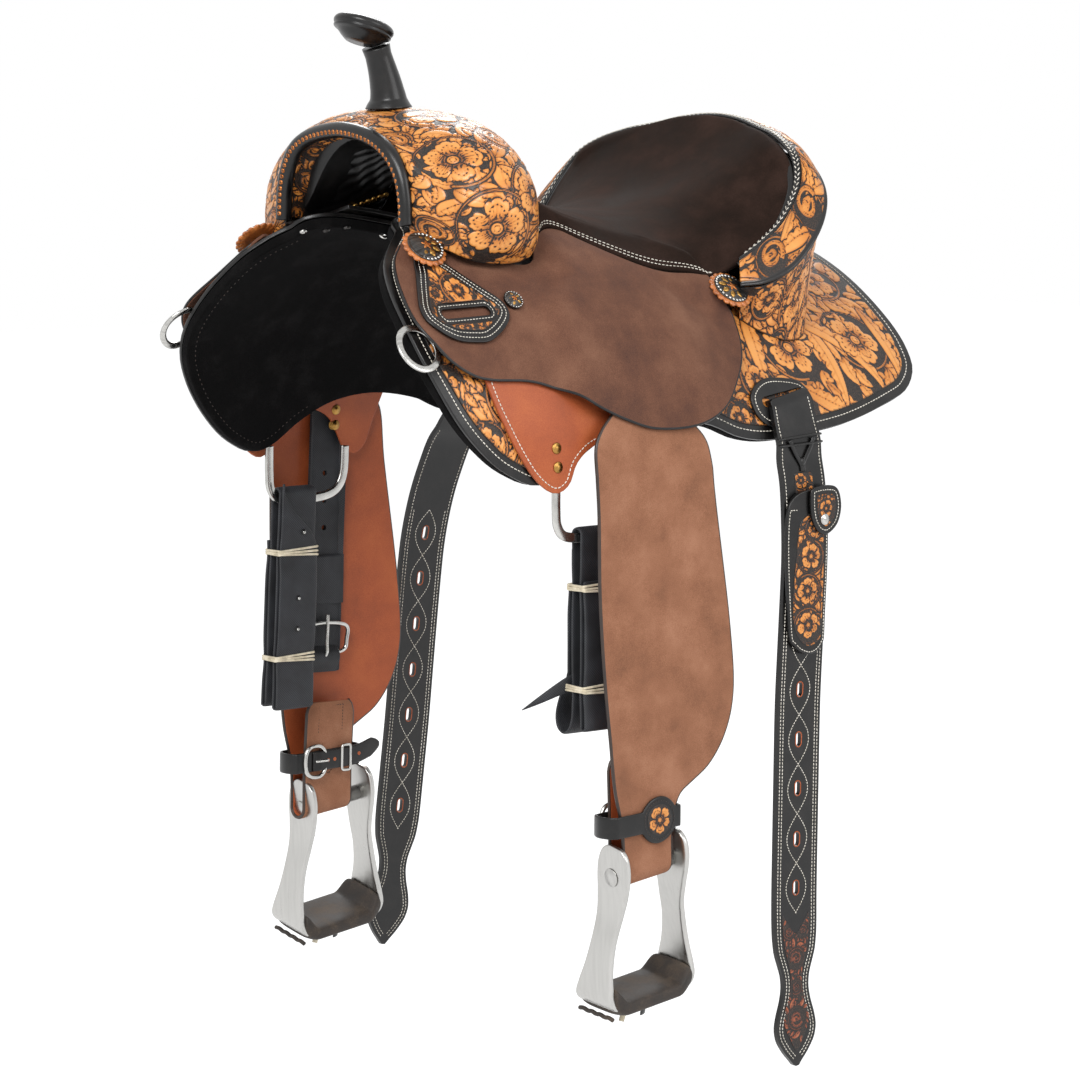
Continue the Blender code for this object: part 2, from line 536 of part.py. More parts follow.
# Lining inside the arch, and the rolled binding at its front edge
fine = curve(arch_in, 41)
way = np.gradient(fine, axis=0)
way = way / np.linalg.norm(way, axis=1)[:, None]
off = np.stack([-way[:, 1], way[:, 0]], 1)
if (fine[20] + off[20] * 3)[1] > fine[20][1]:
    off = -off
rings = np.zeros((37, 4, 3))
for k, (d, y) in enumerate(((0.6, -200), (0.6, -104), (3.0, -104), (3.0, -200))):
    q = fine[2:39] + off[2:39] * d
    rings[:, k, 0], rings[:, k, 1], rings[:, k, 2] = q[:, 0], y, q[:, 1]
loft("gullet_lining", rings)
line = curve(IN + [(-x, z) for x, z in IN[-2::-1]], 41)
front = -206.8 - 12 * step(85, 115, np.abs(line[:, 0]))
roll = np.stack([line[:, 0] - off[:, 0] * 2, front, line[:, 1] - off[:, 1] * 2], 1)
tube("gullet_binding", roll[2:39], 6.4, 8, up=(0, 1, 0))

# Horn: wrapped neck on a collar, and its cap
neck = curve([(0, -163, 214.35), (0, -164, 226), (0, -168.5, 244), (0, -177.6, 270.2)], 8)
wide = [22.5, 17.5, 16, 15, 14, 13.2, 12.6, 13.5]
way = np.gradient(neck, axis=0)
way = way / np.linalg.norm(way, axis=1)[:, None]
t = np.linspace(0, 2 * np.pi, 20, endpoint=False)[:, None]
rings = []
for p, w, r in zip(neck, way, wide):
    u = np.array([1.0, 0, 0])
    v = np.cross(w, u)
    rings.append(p + r * (np.cos(t) * u * 1.0 + np.sin(t) * v * 0.95))
loft("horn_neck", rings)
top = np.array([0, -194, 281.5])
lathe("horn_cap", top, (0, 0.342, 0.94), [(13.5, -8.2), (18, -5), (24, 0), (27.6, 5), (28, 9), (25, 12.5), (15, 15.5), (5, 16.4)],
      24, across=(1, 0, 0))

# Seat: the padded suede top, bounded by the two seams, the swell and the cantle rim
RIM = [(158, 95, 60), (164, 122, 71), (169, 143, 87), (171, 164, 105), (170, 180, 127), (165, 190, 144), (153, 198, 162),
       (132, 206, 175), (103, 216, 185), (72, 225, 191), (38, 232, 198), (0, 235, 201)]
ROLL = [(161, 99, 54), (182, 108, 50), (200, 124, 54), (210, 148, 68), (211, 172, 91), (204, 192, 112), (190, 208, 131),
        (168, 221, 148), (136, 234, 163), (100, 244, 174), (52, 250, 182), (0, 252, 185)]
seam3 = [tuple(p) for p in back(*np.array(SEAM).T, jockey_high(*np.array(SEAM).T))]
FRONT_EDGE = [(112, -96, 136), (80, -96.5, 160), (40, -96.5, 172), (0, -96.5, 176)]
edge_near = [(0, -96.5, 176)] + FRONT_EDGE[2::-1] + seam3 + RIM
crest = [(0, -91, 175), (37, -91, 171), (74, -90, 158), (98, -87, 142)]
crest += [(99, -78, 135), (100, -66, 128), (101, -52, 121), (104, -36, 114), (109, -10, 106), (116, 14, 99), (123, 40, 92), (137, 66, 84), (146, 82, 76)]
crest += [(x * 0.955, y - 5 * (y > 190) - 2, z + 3.5) for x, y, z in RIM]
n = 34
edge_near = curve(edge_near, n)
crest = np.stack([np.interp(np.linspace(0, 1, n), np.linspace(0, 1, 25), np.array(crest)[:, k]) for k in range(3)], 1)
bound = np.vstack([edge_near, edge_near[-2:0:-1] * (-1, 1, 1)])


def match(points, like):
    """The crest point in the same direction from the seat's middle as each edge point."""
    mid = np.array([0, 60.0])
    ang = lambda p: np.unwrap(np.arctan2(p[:, 0], -(p[:, 1] - mid[1])))
    order = ang(points)
    return np.stack([np.interp(ang(like), order, points[:, k]) for k in range(3)], 1)


rim_dense = curve(crest, 200)
crest_near = match(rim_dense, edge_near)
crest_all = np.vstack([crest_near, crest_near[-2:0:-1] * (-1, 1, 1)])
middle = np.array([0, 60.0, 117.0])


def seat_top(r, drop=0.0):
    """Ring of the seat: r up to 0.9 runs from the middle to the crest, the rest rolls over to the seam."""
    if r <= 0.9:
        k = r / 0.9
        p = middle + (crest_all - middle) * k
        p[:, 2] = middle[2] + (crest_all[:, 2] - middle[2]) * k**2.3
    else:
        k = (r - 0.9) / 0.1
        p = crest_all + (bound - crest_all) * k
        p[:, 2] += (crest_all[:, 2] - bound[:, 2]) * (1 - (1 - k) ** 2 - k) * -0.25
    p[:, 2] -= drop
    return p


def dish(name, radii, drops_top, drops_bottom):
    top = [seat_top(r, d) for r, d in zip(radii, drops_top)]
    low = [seat_top(r, d) for r, d in zip(radii, drops_bottom)]
    m = len(bound)
    k = len(radii)
    points = np.vstack([middle - (0, 0, drops_top[0]), middle - (0, 0, drops_bottom[0])] + top + low)
    faces = []
    for i in range(m):
        j = (i + 1) % m
        faces.append([0, 2 + i, 2 + j])
        faces.append([1, 2 + k * m + j, 2 + k * m + i])
        for r in range(k - 1):
            a, b = 2 + r * m, 2 + (r + 1) * m
            faces.append([a + i, b + i, b + j, a + j])
            a, b = a + k * m, b + k * m
            faces.append([a + i, a + j, b + j, b + i])
        a, b = 2 + (k - 1) * m, 2 + (2 * k - 1) * m
        faces.append([a + i, b + i, b + j, a + j])
    return node(name, points, faces)


dish("seat_pad", [0.3, 0.52, 0.7, 0.82, 0.9, 0.95, 0.985], [0, 0, 0, 0, 0, 0, 0.5], [7.5, 7.5, 7.5, 7, 6, 5, 4.4])
dish("ground_seat", [0.3, 0.52, 0.7, 0.82, 0.88], [8.2, 8.2, 8.2, 7.8, 7.2], [10.6, 10.6, 10.6, 10.2, 9.6])

# Cantle: board, roll, back and binding, all along the rim
rim = curve(RIM[1:] + mirror(RIM[-2:0:-1]), 45)
roll = curve(ROLL[1:] + mirror(ROLL[-2:0:-1]), 45)
way = roll - rim
way[:, 2] = 0
way = way / np.linalg.norm(way, axis=1)[:, None]
up = np.array([0, 0, 1.0])
ground = np.zeros(45)
for i, (p, w) in enumerate(zip(rim, way)):
    q = p + w * 4
    ss = np.linspace(-40, 180, 221)
    line = back(np.full(221, q[1]), ss, 15.5)
    ground[i] = np.interp(abs(q[0]), line[:, 0], line[:, 2])


def along(table, lo, hi):
    """Rings from (out, up) pairs: out from the rim toward the roll, up from the rim; 'g' stands for the tree's level."""
    rings = []
    for i in range(lo, hi):
        ring = []
        for out, rise in table:
            base = rim[i] + way[i] * out
            z = ground[i] + 1 if rise == "g" else rim[i][2] + rise
            ring.append((base[0], base[1], z))
        rings.append(ring)
    return rings


tall = rim[:, 2] - ground
lo = int(np.argmax(rim[:, 1] > 142))
loft("tree_cantle", along([(-7, -16), (3.5, -9), (5.5, -22), (5.5, "g"), (-7, "g")], lo, 45 - lo))
reach = np.linalg.norm((roll - rim)[:, :2], axis=1)
rings = []
for i in range(lo, 45 - lo):
    p, w, size = rim[i], way[i], reach[i]

    def under(out, drop, clear):
        q = p + w * out
        line = back(np.full(221, q[1]), np.linspace(-40, 180, 221), clear)
        floor = np.interp(abs(q[0]), line[:, 0], line[:, 2])
        level = p[2] + (roll[i][2] - p[2]) * out / size - drop
        return (q[0], q[1], max(level, floor) if drop else floor)

    rings.append([under(6.3, 14, 15.5), under(0.6 * size, 12, 13.0), under(0.92 * size, 13, 9.0), under(size + 8, 0, 6.4),
                  under(6.3, 0, 14.8)])
loft("cantle_back", rings)
gap = np.minimum(9.0, 0.42 * np.linalg.norm((roll - rim)[:, :2], axis=1))
rings = []
for i in range(45):
    a, b = rim[i] + way[i] * gap[i], roll[i]
    mid = (a + b) / 2
    thin = 0.35 + 0.65 * step(0, 6, min(i, 44 - i))
    rings.append([a + up * 1.5, mid + up * (5 * thin + 1), b + up * 1, b - up * 5 * thin, mid - up * (6 * thin) + up * 2,
                  a - up * 4.5 * thin])
loft("cantle_roll", rings)
t = np.linspace(0, 2 * np.pi, 8, endpoint=False)[:, None]
rings = [rim[i] + way[i] * (0.3 + gap[i] / 2 + np.cos(t) * (gap[i] / 2 - 0.4)) + up * (1.5 + 2.2 * np.sin(t)) for i in range(45)]
loft("cantle_binding", rings)
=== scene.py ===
# %% [markdown]
# A barrel racing saddle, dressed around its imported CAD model.
# The CAD gives every solid in metres, with the near side at +X, the front at -Y and up at +Z.
# Each step below says what a piece is on the real saddle, how it could be made, and why this way was taken.

# %% Load the frame
import json
import math

import bmesh
import bpy
import numpy as np
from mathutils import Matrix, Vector
from mathutils.geometry import delaunay_2d_cdt


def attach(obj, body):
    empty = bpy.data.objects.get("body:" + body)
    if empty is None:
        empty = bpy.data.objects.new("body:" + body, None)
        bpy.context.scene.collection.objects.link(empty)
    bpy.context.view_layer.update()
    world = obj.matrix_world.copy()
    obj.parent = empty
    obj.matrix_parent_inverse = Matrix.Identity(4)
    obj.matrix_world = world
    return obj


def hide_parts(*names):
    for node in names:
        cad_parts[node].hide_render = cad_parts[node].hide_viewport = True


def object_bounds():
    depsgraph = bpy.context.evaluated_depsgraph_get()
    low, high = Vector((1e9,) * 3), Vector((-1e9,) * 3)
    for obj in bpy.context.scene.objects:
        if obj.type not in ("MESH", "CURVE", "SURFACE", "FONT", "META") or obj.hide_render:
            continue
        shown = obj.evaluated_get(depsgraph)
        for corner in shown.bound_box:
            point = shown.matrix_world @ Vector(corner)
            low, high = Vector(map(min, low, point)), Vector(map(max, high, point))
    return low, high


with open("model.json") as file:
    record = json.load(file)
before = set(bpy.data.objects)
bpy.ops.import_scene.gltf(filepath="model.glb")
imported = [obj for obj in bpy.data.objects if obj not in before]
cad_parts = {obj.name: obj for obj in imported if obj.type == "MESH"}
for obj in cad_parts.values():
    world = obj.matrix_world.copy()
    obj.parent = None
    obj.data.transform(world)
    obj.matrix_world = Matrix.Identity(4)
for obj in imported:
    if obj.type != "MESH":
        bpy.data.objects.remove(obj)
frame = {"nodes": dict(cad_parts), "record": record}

cad_low, cad_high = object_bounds()
NODES = frame["nodes"]
BODY_OF = {n: b for b, names in frame["record"]["behaviour"]["bodies"].items() for n in names}
print("CAD box", [round(1000 * v) for v in cad_low], [round(1000 * v) for v in cad_high])

# %% [markdown]
# The camera first. The photograph was taken from the front left with a long lens about 4.3 m away,
# so the camera stands at azimuth 50 and elevation 6.5 degrees and looks at the middle of the saddle.

# %% Camera
AZIMUTH, ELEVATION = math.radians(50.0), math.radians(6.5)
DISTANCE = 4.286
TARGET = Vector((0.0, 0.018, -0.2926))
PHOTO_PIXELS, FOCAL_PIXELS, SENSOR_MM = 1080, 4500, 36
LENS = FOCAL_PIXELS / PHOTO_PIXELS * SENSOR_MM

away = Vector((math.sin(AZIMUTH) * math.cos(ELEVATION), -math.cos(AZIMUTH) * math.cos(ELEVATION),
               math.sin(ELEVATION)))
camera = bpy.data.objects.new("camera", bpy.data.cameras.new("camera"))
bpy.context.scene.collection.objects.link(camera)
camera.data.sensor_width = SENSOR_MM
camera.data.lens = LENS
camera.data.clip_end = 50
camera.location = TARGET + away * DISTANCE
camera.rotation_mode = "QUATERNION"
camera.rotation_quaternion = (-away).to_track_quat("-Z", "Y")
bpy.context.scene.camera = camera
bpy.context.scene.view_settings.view_transform = "Standard"

# %% [markdown]
# Materials are node trees. One small function adds a node, sets its settings and links its sockets,
# and one function turns an sRGB hex colour into the linear numbers that the shader wants.


# %% Colour and node helpers
def colour(code):
    """sRGB hex to linear: each channel over 12.92 near black, else a 2.4 power curve."""
    c = np.array([int(code[k : k + 2], 16) for k in (1, 3, 5)]) / 255
    c = np.where(c < 0.04045, c / 12.92, ((c + 0.055) / 1.055) ** 2.4)
    return (*map(float, c), 1.0)


def add(tree, kind, inputs=None, stops=(), **settings):
    """Add one node. Settings are its own, inputs are values or sockets, and stops fill a ramp."""
    made = tree.nodes.new("ShaderNode" + kind)
    for name, value in settings.items():
        setattr(made, name, value)
    for name, value in (inputs or {}).items():
        if isinstance(value, bpy.types.NodeSocket):
            tree.links.new(value, made.inputs[name])
        else:
            made.inputs[name].default_value = value
    for k, (place, code) in enumerate(stops):
        stop = made.color_ramp.elements[k] if k < 2 else made.color_ramp.elements.new(place)
        stop.position = place
        stop.color = colour(code)
    return made


def blank(name):
    """A material with only an output, and Object coordinates to start from."""
    made = bpy.data.materials.new(name)
    made.use_nodes = True
    tree = made.node_tree
    tree.nodes.clear()
    out = add(tree, "OutputMaterial")
    return made, tree, out, add(tree, "TexCoord").outputs["Object"]


# %% [markdown]
# Leather comes in four finishes here: smooth reddish strap leather, black dyed leather, roughout
# (the flesh side left outward, on fenders and jockeys) and fine suede on the seat.
# All are a diffuse base, and the glossy ones have a clear coat. Grain is a Voronoi pattern about 0.9 mm wide
# with noise of the same width, drawn a little coarser than life so that it shows. Nap is drawn about 0.8 mm wide.


# %% Leather finishes
def leather(name, dark, middle, light, rough, grain, depth, patch=0.03, sheen=0.0, coat=0.0, tint="#ffffff",
            calm=1.0, shine=0.5):
    """Leather: patches of colour about `patch` metres wide, fine grain `grain` metres wide, `depth` deep."""
    made, tree, out, at = blank(name)
    cloud = add(tree, "TexNoise", {"Vector": at, "Scale": 1 / patch, "Detail": 5.0, "Roughness": 0.6})
    fine = add(tree, "TexNoise", {"Vector": at, "Scale": 1 / grain, "Detail": 3.0, "Roughness": 0.65})
    spread = add(tree, "Math", {0: cloud.outputs[0], 1: calm, 2: 0.5 - 0.5 * calm},
                 operation="MULTIPLY_ADD")
    both = add(tree, "Math", {0: fine.outputs[0], 1: 0.45, 2: spread.outputs[0]}, operation="MULTIPLY_ADD")
    tone = add(tree, "ValToRGB", {0: both.outputs[0]}, [(0.52, dark), (0.95, light), (0.72, middle)])
    cells = add(tree, "TexVoronoi", {"Vector": at, "Scale": 1 / grain, "Randomness": 1.0},
                feature="DISTANCE_TO_EDGE")
    relief = add(tree, "Math", {0: cells.outputs["Distance"], 1: 0.6, 2: fine.outputs[0]},
                 operation="MULTIPLY_ADD")
    bump = add(tree, "Bump", {"Height": relief.outputs[0], "Strength": 0.55, "Distance": depth})
    gloss = add(tree, "MapRange", {0: cloud.outputs[0], 1: 0.3, 2: 0.7, 3: rough * 0.86,
                                   4: min(1.0, rough * 1.12)})
    shader = add(tree, "BsdfPrincipled", {
        "Base Color": tone.outputs[0], "Roughness": gloss.outputs[0], "Normal": bump.outputs[0],
        "Sheen Weight": sheen, "Sheen Roughness": 0.45, "Sheen Tint": colour(tint),
        "Coat Weight": coat, "Coat Roughness": 0.22, "Specular IOR Level": shine})
    tree.links.new(shader.outputs[0], out.inputs[0])
    return made


ROUGHOUT = leather("roughout_leather", "#6d4936", "#91634a", "#b08066", 0.95, 0.0008, 0.0005, 0.05, 0.10,
                   tint="#d8b49c", calm=0.6, shine=0.2)
JOCKEY = leather("jockey_roughout", "#46302a", "#674536", "#86604c", 0.95, 0.0008, 0.0005, 0.06, 0.10,
                 tint="#c9a894", calm=0.7, shine=0.2)
SUEDE = leather("seat_suede", "#18110d", "#271c17", "#3c2c26", 0.95, 0.0007, 0.0004, 0.05, 0.05,
                tint="#8a7060", calm=0.8, shine=0.08)
RUSSET = leather("russet_strap_leather", "#7e3d20", "#a04e2a", "#b96639", 0.5, 0.0009, 0.00015, 0.05,
                 coat=0.08, calm=0.5, shine=0.3)
ROSETTE = leather("rosette_leather", "#8a4d22", "#b96a30", "#d58a48", 0.4, 0.0009, 0.00015, 0.01, coat=0.3)
BLACK = leather("black_dyed_leather", "#080808", "#100f0f", "#1d1b1a", 0.34, 0.0010, 0.00012, 0.02,
                coat=0.22, shine=0.3)
FELT = leather("black_felt", "#040404", "#0a0909", "#1a1919", 1.0, 0.0012, 0.0009, 0.03, 0.04,
               tint="#5a5c66", shine=0.1)
THREAD = leather("waxed_linen_thread", "#b9b2a4", "#dcd6c9", "#f1ece2", 0.7, 0.0006, 0.0002, 0.01)

# %% [markdown]
# Tooled leather is carved and stamped while damp, then dyed black in the hollows and left orange on top.
# The pattern here is a general one of ruffled five-petalled flowers in rings of stem, with scalloped leaves
# round them, long curved leaves between them, and curled scrolls. Each form is a distance in mm to its own
# edge, worked out in numpy at every vertex, and a lower form stops short of the one above it, as a carver's
# does. The vertex keeps the distance, the distance to the nearest cut line, and a tone with painted shade in it:
# petals darker toward the eye and leaves toward their base, stems and scrolls a little darker all over. The
# shader turns them into crisp colour. The hollows between are stippled with a small tool, about 1.4 mm from
# dot to dot.

# %% The tooling's forms
def step(a, b, x):
    """Smooth rise from 0 at a to 1 at b."""
    k = np.clip((np.asarray(x, float) - a) / (b - a), 0, 1)
    return k * k * (3 - 2 * k)


def stroke(start, heading, length, bend, n=14):
    """Centre line of a leaf: it sets out at `heading` degrees and turns by `bend` degrees on its way."""
    s = (np.arange(n - 1) + 0.5) / (n - 1)
    a = np.radians(heading + bend * s**1.3)
    way = np.stack([np.cos(a), np.sin(a)], 1) * length / (n - 1)
    return np.vstack([[start], np.asarray(start) + np.cumsum(way, 0)])


def near_path(p, path):
    """For each point: its share of the way along the line, and its signed distance from the line."""
    way = np.diff(path, axis=0)
    rel = p[:, None] - path[:-1]
    t = np.clip((rel * way).sum(-1) / (way**2).sum(1), 0, 1)
    off = rel - way * t[..., None]
    far = np.linalg.norm(off, axis=-1)
    k = far.argmin(1)
    i = np.arange(len(p))
    side = way[k, 0] * off[i, k, 1] - way[k, 1] * off[i, k, 0]
    return (k + t[i, k]) / len(way), far[i, k] * np.where(side < 0, -1, 1)


def leaf_form(p, path, width, lobes, hand):
    """A leaf: its half-width swells and narrows, notched on the outer side, with a midrib and ribs cut in."""
    s, off = near_path(p, path)
    length = np.linalg.norm(np.diff(path, axis=0), axis=1).sum()
    belly = width * np.sin(np.pi * np.clip(s, 0.001, 0.999) ** 0.72) ** 0.75
    notch = np.abs(np.sin(np.pi * lobes * s)) ** 0.7
    outer = off * hand < 0
    wide = belly * np.where(outer, 0.62 + 0.5 * notch, 0.92)
    rib = 0.30 - np.abs(np.sin(np.pi * (lobes * s - 0.55 * np.abs(off) / width))) * length / lobes / np.pi
    rib = np.minimum(rib, 0.86 * wide - np.abs(off))
    mid = 0.40 * (1 - s) + 0.08 - np.abs(off + 0.12 * belly * hand)
    line = np.maximum(np.minimum(mid, (0.9 - s) * 8), np.where(outer, rib, -9))
    # painted shade: the third value darkens the leaf toward its base
    return wide - np.abs(off), line, 0.72 + 0.28 * step(0.0, 0.45, s)


def stem_form(p, path, width):
    """A stem with a line down its middle, thinner toward its end."""
    s, off = near_path(p, path)
    wide = width * (1 - 0.55 * s)
    return wide - np.abs(off), 0.24 - np.abs(off), 0.9 + 0 * s


# each vein of a petal: its place across the petal, and how far out it ends
VEINS = [(0.0, 0.66), (-0.14, 0.60), (0.14, 0.60), (-0.27, 0.50), (0.27, 0.50), (-0.38, 0.40), (0.38, 0.40)]


def flower_form(p, centre, size, turn, hand):
    """Five ruffled petals round an eye: each has three lobes at its end and cut veins that end in dots."""
    x, y = (p - centre).T / size
    y = y * hand
    r = np.hypot(x, y)
    a = np.arctan2(y, x) - np.radians(turn)
    five = a / (2 * np.pi) * 5 + 0.13 * np.sin(a + 1.0) + 0.06 * np.sin(2 * a)
    petal = np.floor(five)
    b = five - petal - 0.5
    b = b + 0.10 * (r - 0.5) * np.sin(petal * 2.4)
    ruffle = np.abs(np.sin(3 * np.pi * (b + 0.5))) ** 0.6
    reach = 0.84 + 0.11 * ruffle + 0.05 * np.sin(petal * 2.1 + 1) - 0.36 * np.abs(2 * b) ** 3.2
    arc = 2 * np.pi / 5 * r * size
    edge = (reach - r) * size * 0.85
    gap = (0.5 - np.abs(b)) * arc - 0.42
    body = np.minimum(np.minimum(edge, gap), (r - 0.225) * size)
    eye = (0.185 - r) * size
    line = np.full(len(p), -9.0)
    for place, end in VEINS:
        fade = np.clip((end - r) / (end - 0.24), 0, 1)
        vein = 0.12 + 0.62 * fade - np.abs(b - place * (1 + 0.25 * (r - 0.3))) * arc
        vein = np.minimum(vein, np.minimum(end - r, 0.7 * (r - 0.27)) * size)
        dot = 0.034 * size - np.hypot((b - place * 1.1) * arc, (r - end - 0.08) * size)
        line = np.maximum(line, np.maximum(vein, dot))
    curl = 0.32 - np.abs(r - (0.74 - 1.5 * b**2)) * size
    line = np.maximum(line, np.where((np.sin(petal * 1.7 + turn) > 0.2) & (np.abs(b) < 0.3), curl, -9))
    line = np.maximum(line, 0.012 * size + 0.1 - np.abs(r - 0.10) * size)
    # painted shade: the third value darkens each petal toward the eye
    return np.maximum(body, eye), line, np.where(r < 0.2, 1.0, 0.62 + 0.38 * step(0.22, 0.62, r))


def scroll_form(p, centre, size, turn, hand):
    """A curled leaf: a band that winds inward, hatched along its outer half, with a bud in the middle."""
    x, y = (p - centre).T / size
    y = y * hand
    r = np.hypot(x, y)
    a = np.mod(np.arctan2(y, x) - np.radians(turn), 2 * np.pi) / (2 * np.pi)
    outer = 1.0 - 0.36 * a
    middle, half = outer - 0.19 + 0.04 * a, 0.17 - 0.03 * a
    band = (half - np.abs(r - middle)) * size
    hatch = 0.28 - np.abs(np.sin(np.pi * (34 * a + 2.2 * r))) * 2 * r * size / 34
    hatch = np.minimum(hatch, (r - middle - 0.02) * size)
    inner_edge = 0.26 - np.abs(r - middle + 0.01) * size
    bud = (0.30 * (1 + 0.10 * np.cos(a * 6 * np.pi)) - np.hypot(x * np.cos(1) + 0.08, y)) * size
    bud_line = 0.3 - np.abs(np.sin(9 * np.arctan2(y, x + 0.2))) * r * size * 0.3
    return np.maximum(band, bud), np.maximum(np.where(bud > 0, bud_line, -9),
                                             np.maximum(hatch, inner_edge)), 0.85 + 0 * r


# rings of leaves round a flower, in its radii: distance, count, length, half-width and lobes
LEAF_TIERS = [(1.26, 8, 1.25, 0.27, 4), (1.34, 8, 1.0, 0.22, 3), (1.85, 12, 1.0, 0.21, 3),
              (2.5, 16, 0.95, 0.19, 3)]


def bloom(u, v, flowers, fronds=(), moat=0.75):
    """The carving at places u, v in mm: (distance inside a form, distance inside a cut line, tone with painted
    shade).

    Each flower is (centre u, v, radius, turn, hand); a radius below 0 makes a scroll of that size.
    Each frond is a long leaf: (start u, v, heading, length, bend, half-width, hand).
    """
    p = np.stack([np.ravel(u), np.ravel(v)], 1)
    form, line, tone_and_painted_shade = np.full(len(p), -9.0), np.full(len(p), -9.0), np.ones(len(p))

    def lay(kind, middle, reach, *given):
        near = np.flatnonzero(((p - middle) ** 2).sum(1) < (reach + 2) ** 2)
        if not len(near):
            return
        d, cut, tone = kind(p[near], *given)
        d = np.minimum(d, -form[near] - moat)
        top = d > form[near]
        put = near[top]
        form[put], line[put], tone_and_painted_shade[put] = d[top], cut[top], tone[top]

    f = [(np.array([a, b], float), abs(r), t, h, r < 0) for a, b, r, t, h in flowers]
    for c, r, t, h, curled in f:
        lay(scroll_form if curled else flower_form, c, r, c, r, t, h)
    for a, b, heading, length, bend, wide, h in fronds:
        path = stroke((a, b), heading, length, bend, 30)
        lay(leaf_form, path[len(path) // 2], 0.62 * length + wide, path, wide, round(length / 11), h)
    for c, r, t, h, curled in f:
        q = np.radians(t + 40 + h * np.linspace(0, 300, 40))
        ring = c + (r * (1.07 if curled else 1.14)
                    + np.linspace(0, 0.12 * r, 40))[:, None] * np.stack([np.cos(q), np.sin(q)], 1)
        lay(stem_form, c, r * 1.35, ring, 1.35 if r > 14 else 0.9)
    for tier, (where, count, long, wide, lobes) in enumerate(LEAF_TIERS):
        for c, r, t, h, curled in f:
            for k in range(count):
                q = t + 40 + h * (360 / count) * (k + 0.5 * tier + 0.25 * np.sin(k * 2.3 + t))
                start = c + where * r * np.array([np.cos(np.radians(q)), np.sin(np.radians(q))])
                size = long * r * (1 + 0.18 * np.sin(k * 1.9 + t))
                path = stroke(start, q + h * 48, size,
                              -h * (70 + 25 * np.sin(k + t)) * (1 if k % 2 else -0.9))
                lay(leaf_form, path[len(path) // 2], 0.62 * size + wide * r, path, wide * r, lobes,
                    h if k % 2 else -h)
    return np.stack([form, line, tone_and_painted_shade], -1).reshape(*np.shape(u), 3)


def carved(place, depth=0.7):
    """Relief in mm: a form rises steeply at its edge and rounds over, and its lines are cut in."""
    form, line = place[..., 0], place[..., 1]
    return depth * (step(-0.1, 0.8, form) * (0.72 + 0.28 * step(0.5, 3.5, form))
                    - 0.4 * step(-0.25, 0.35, line))


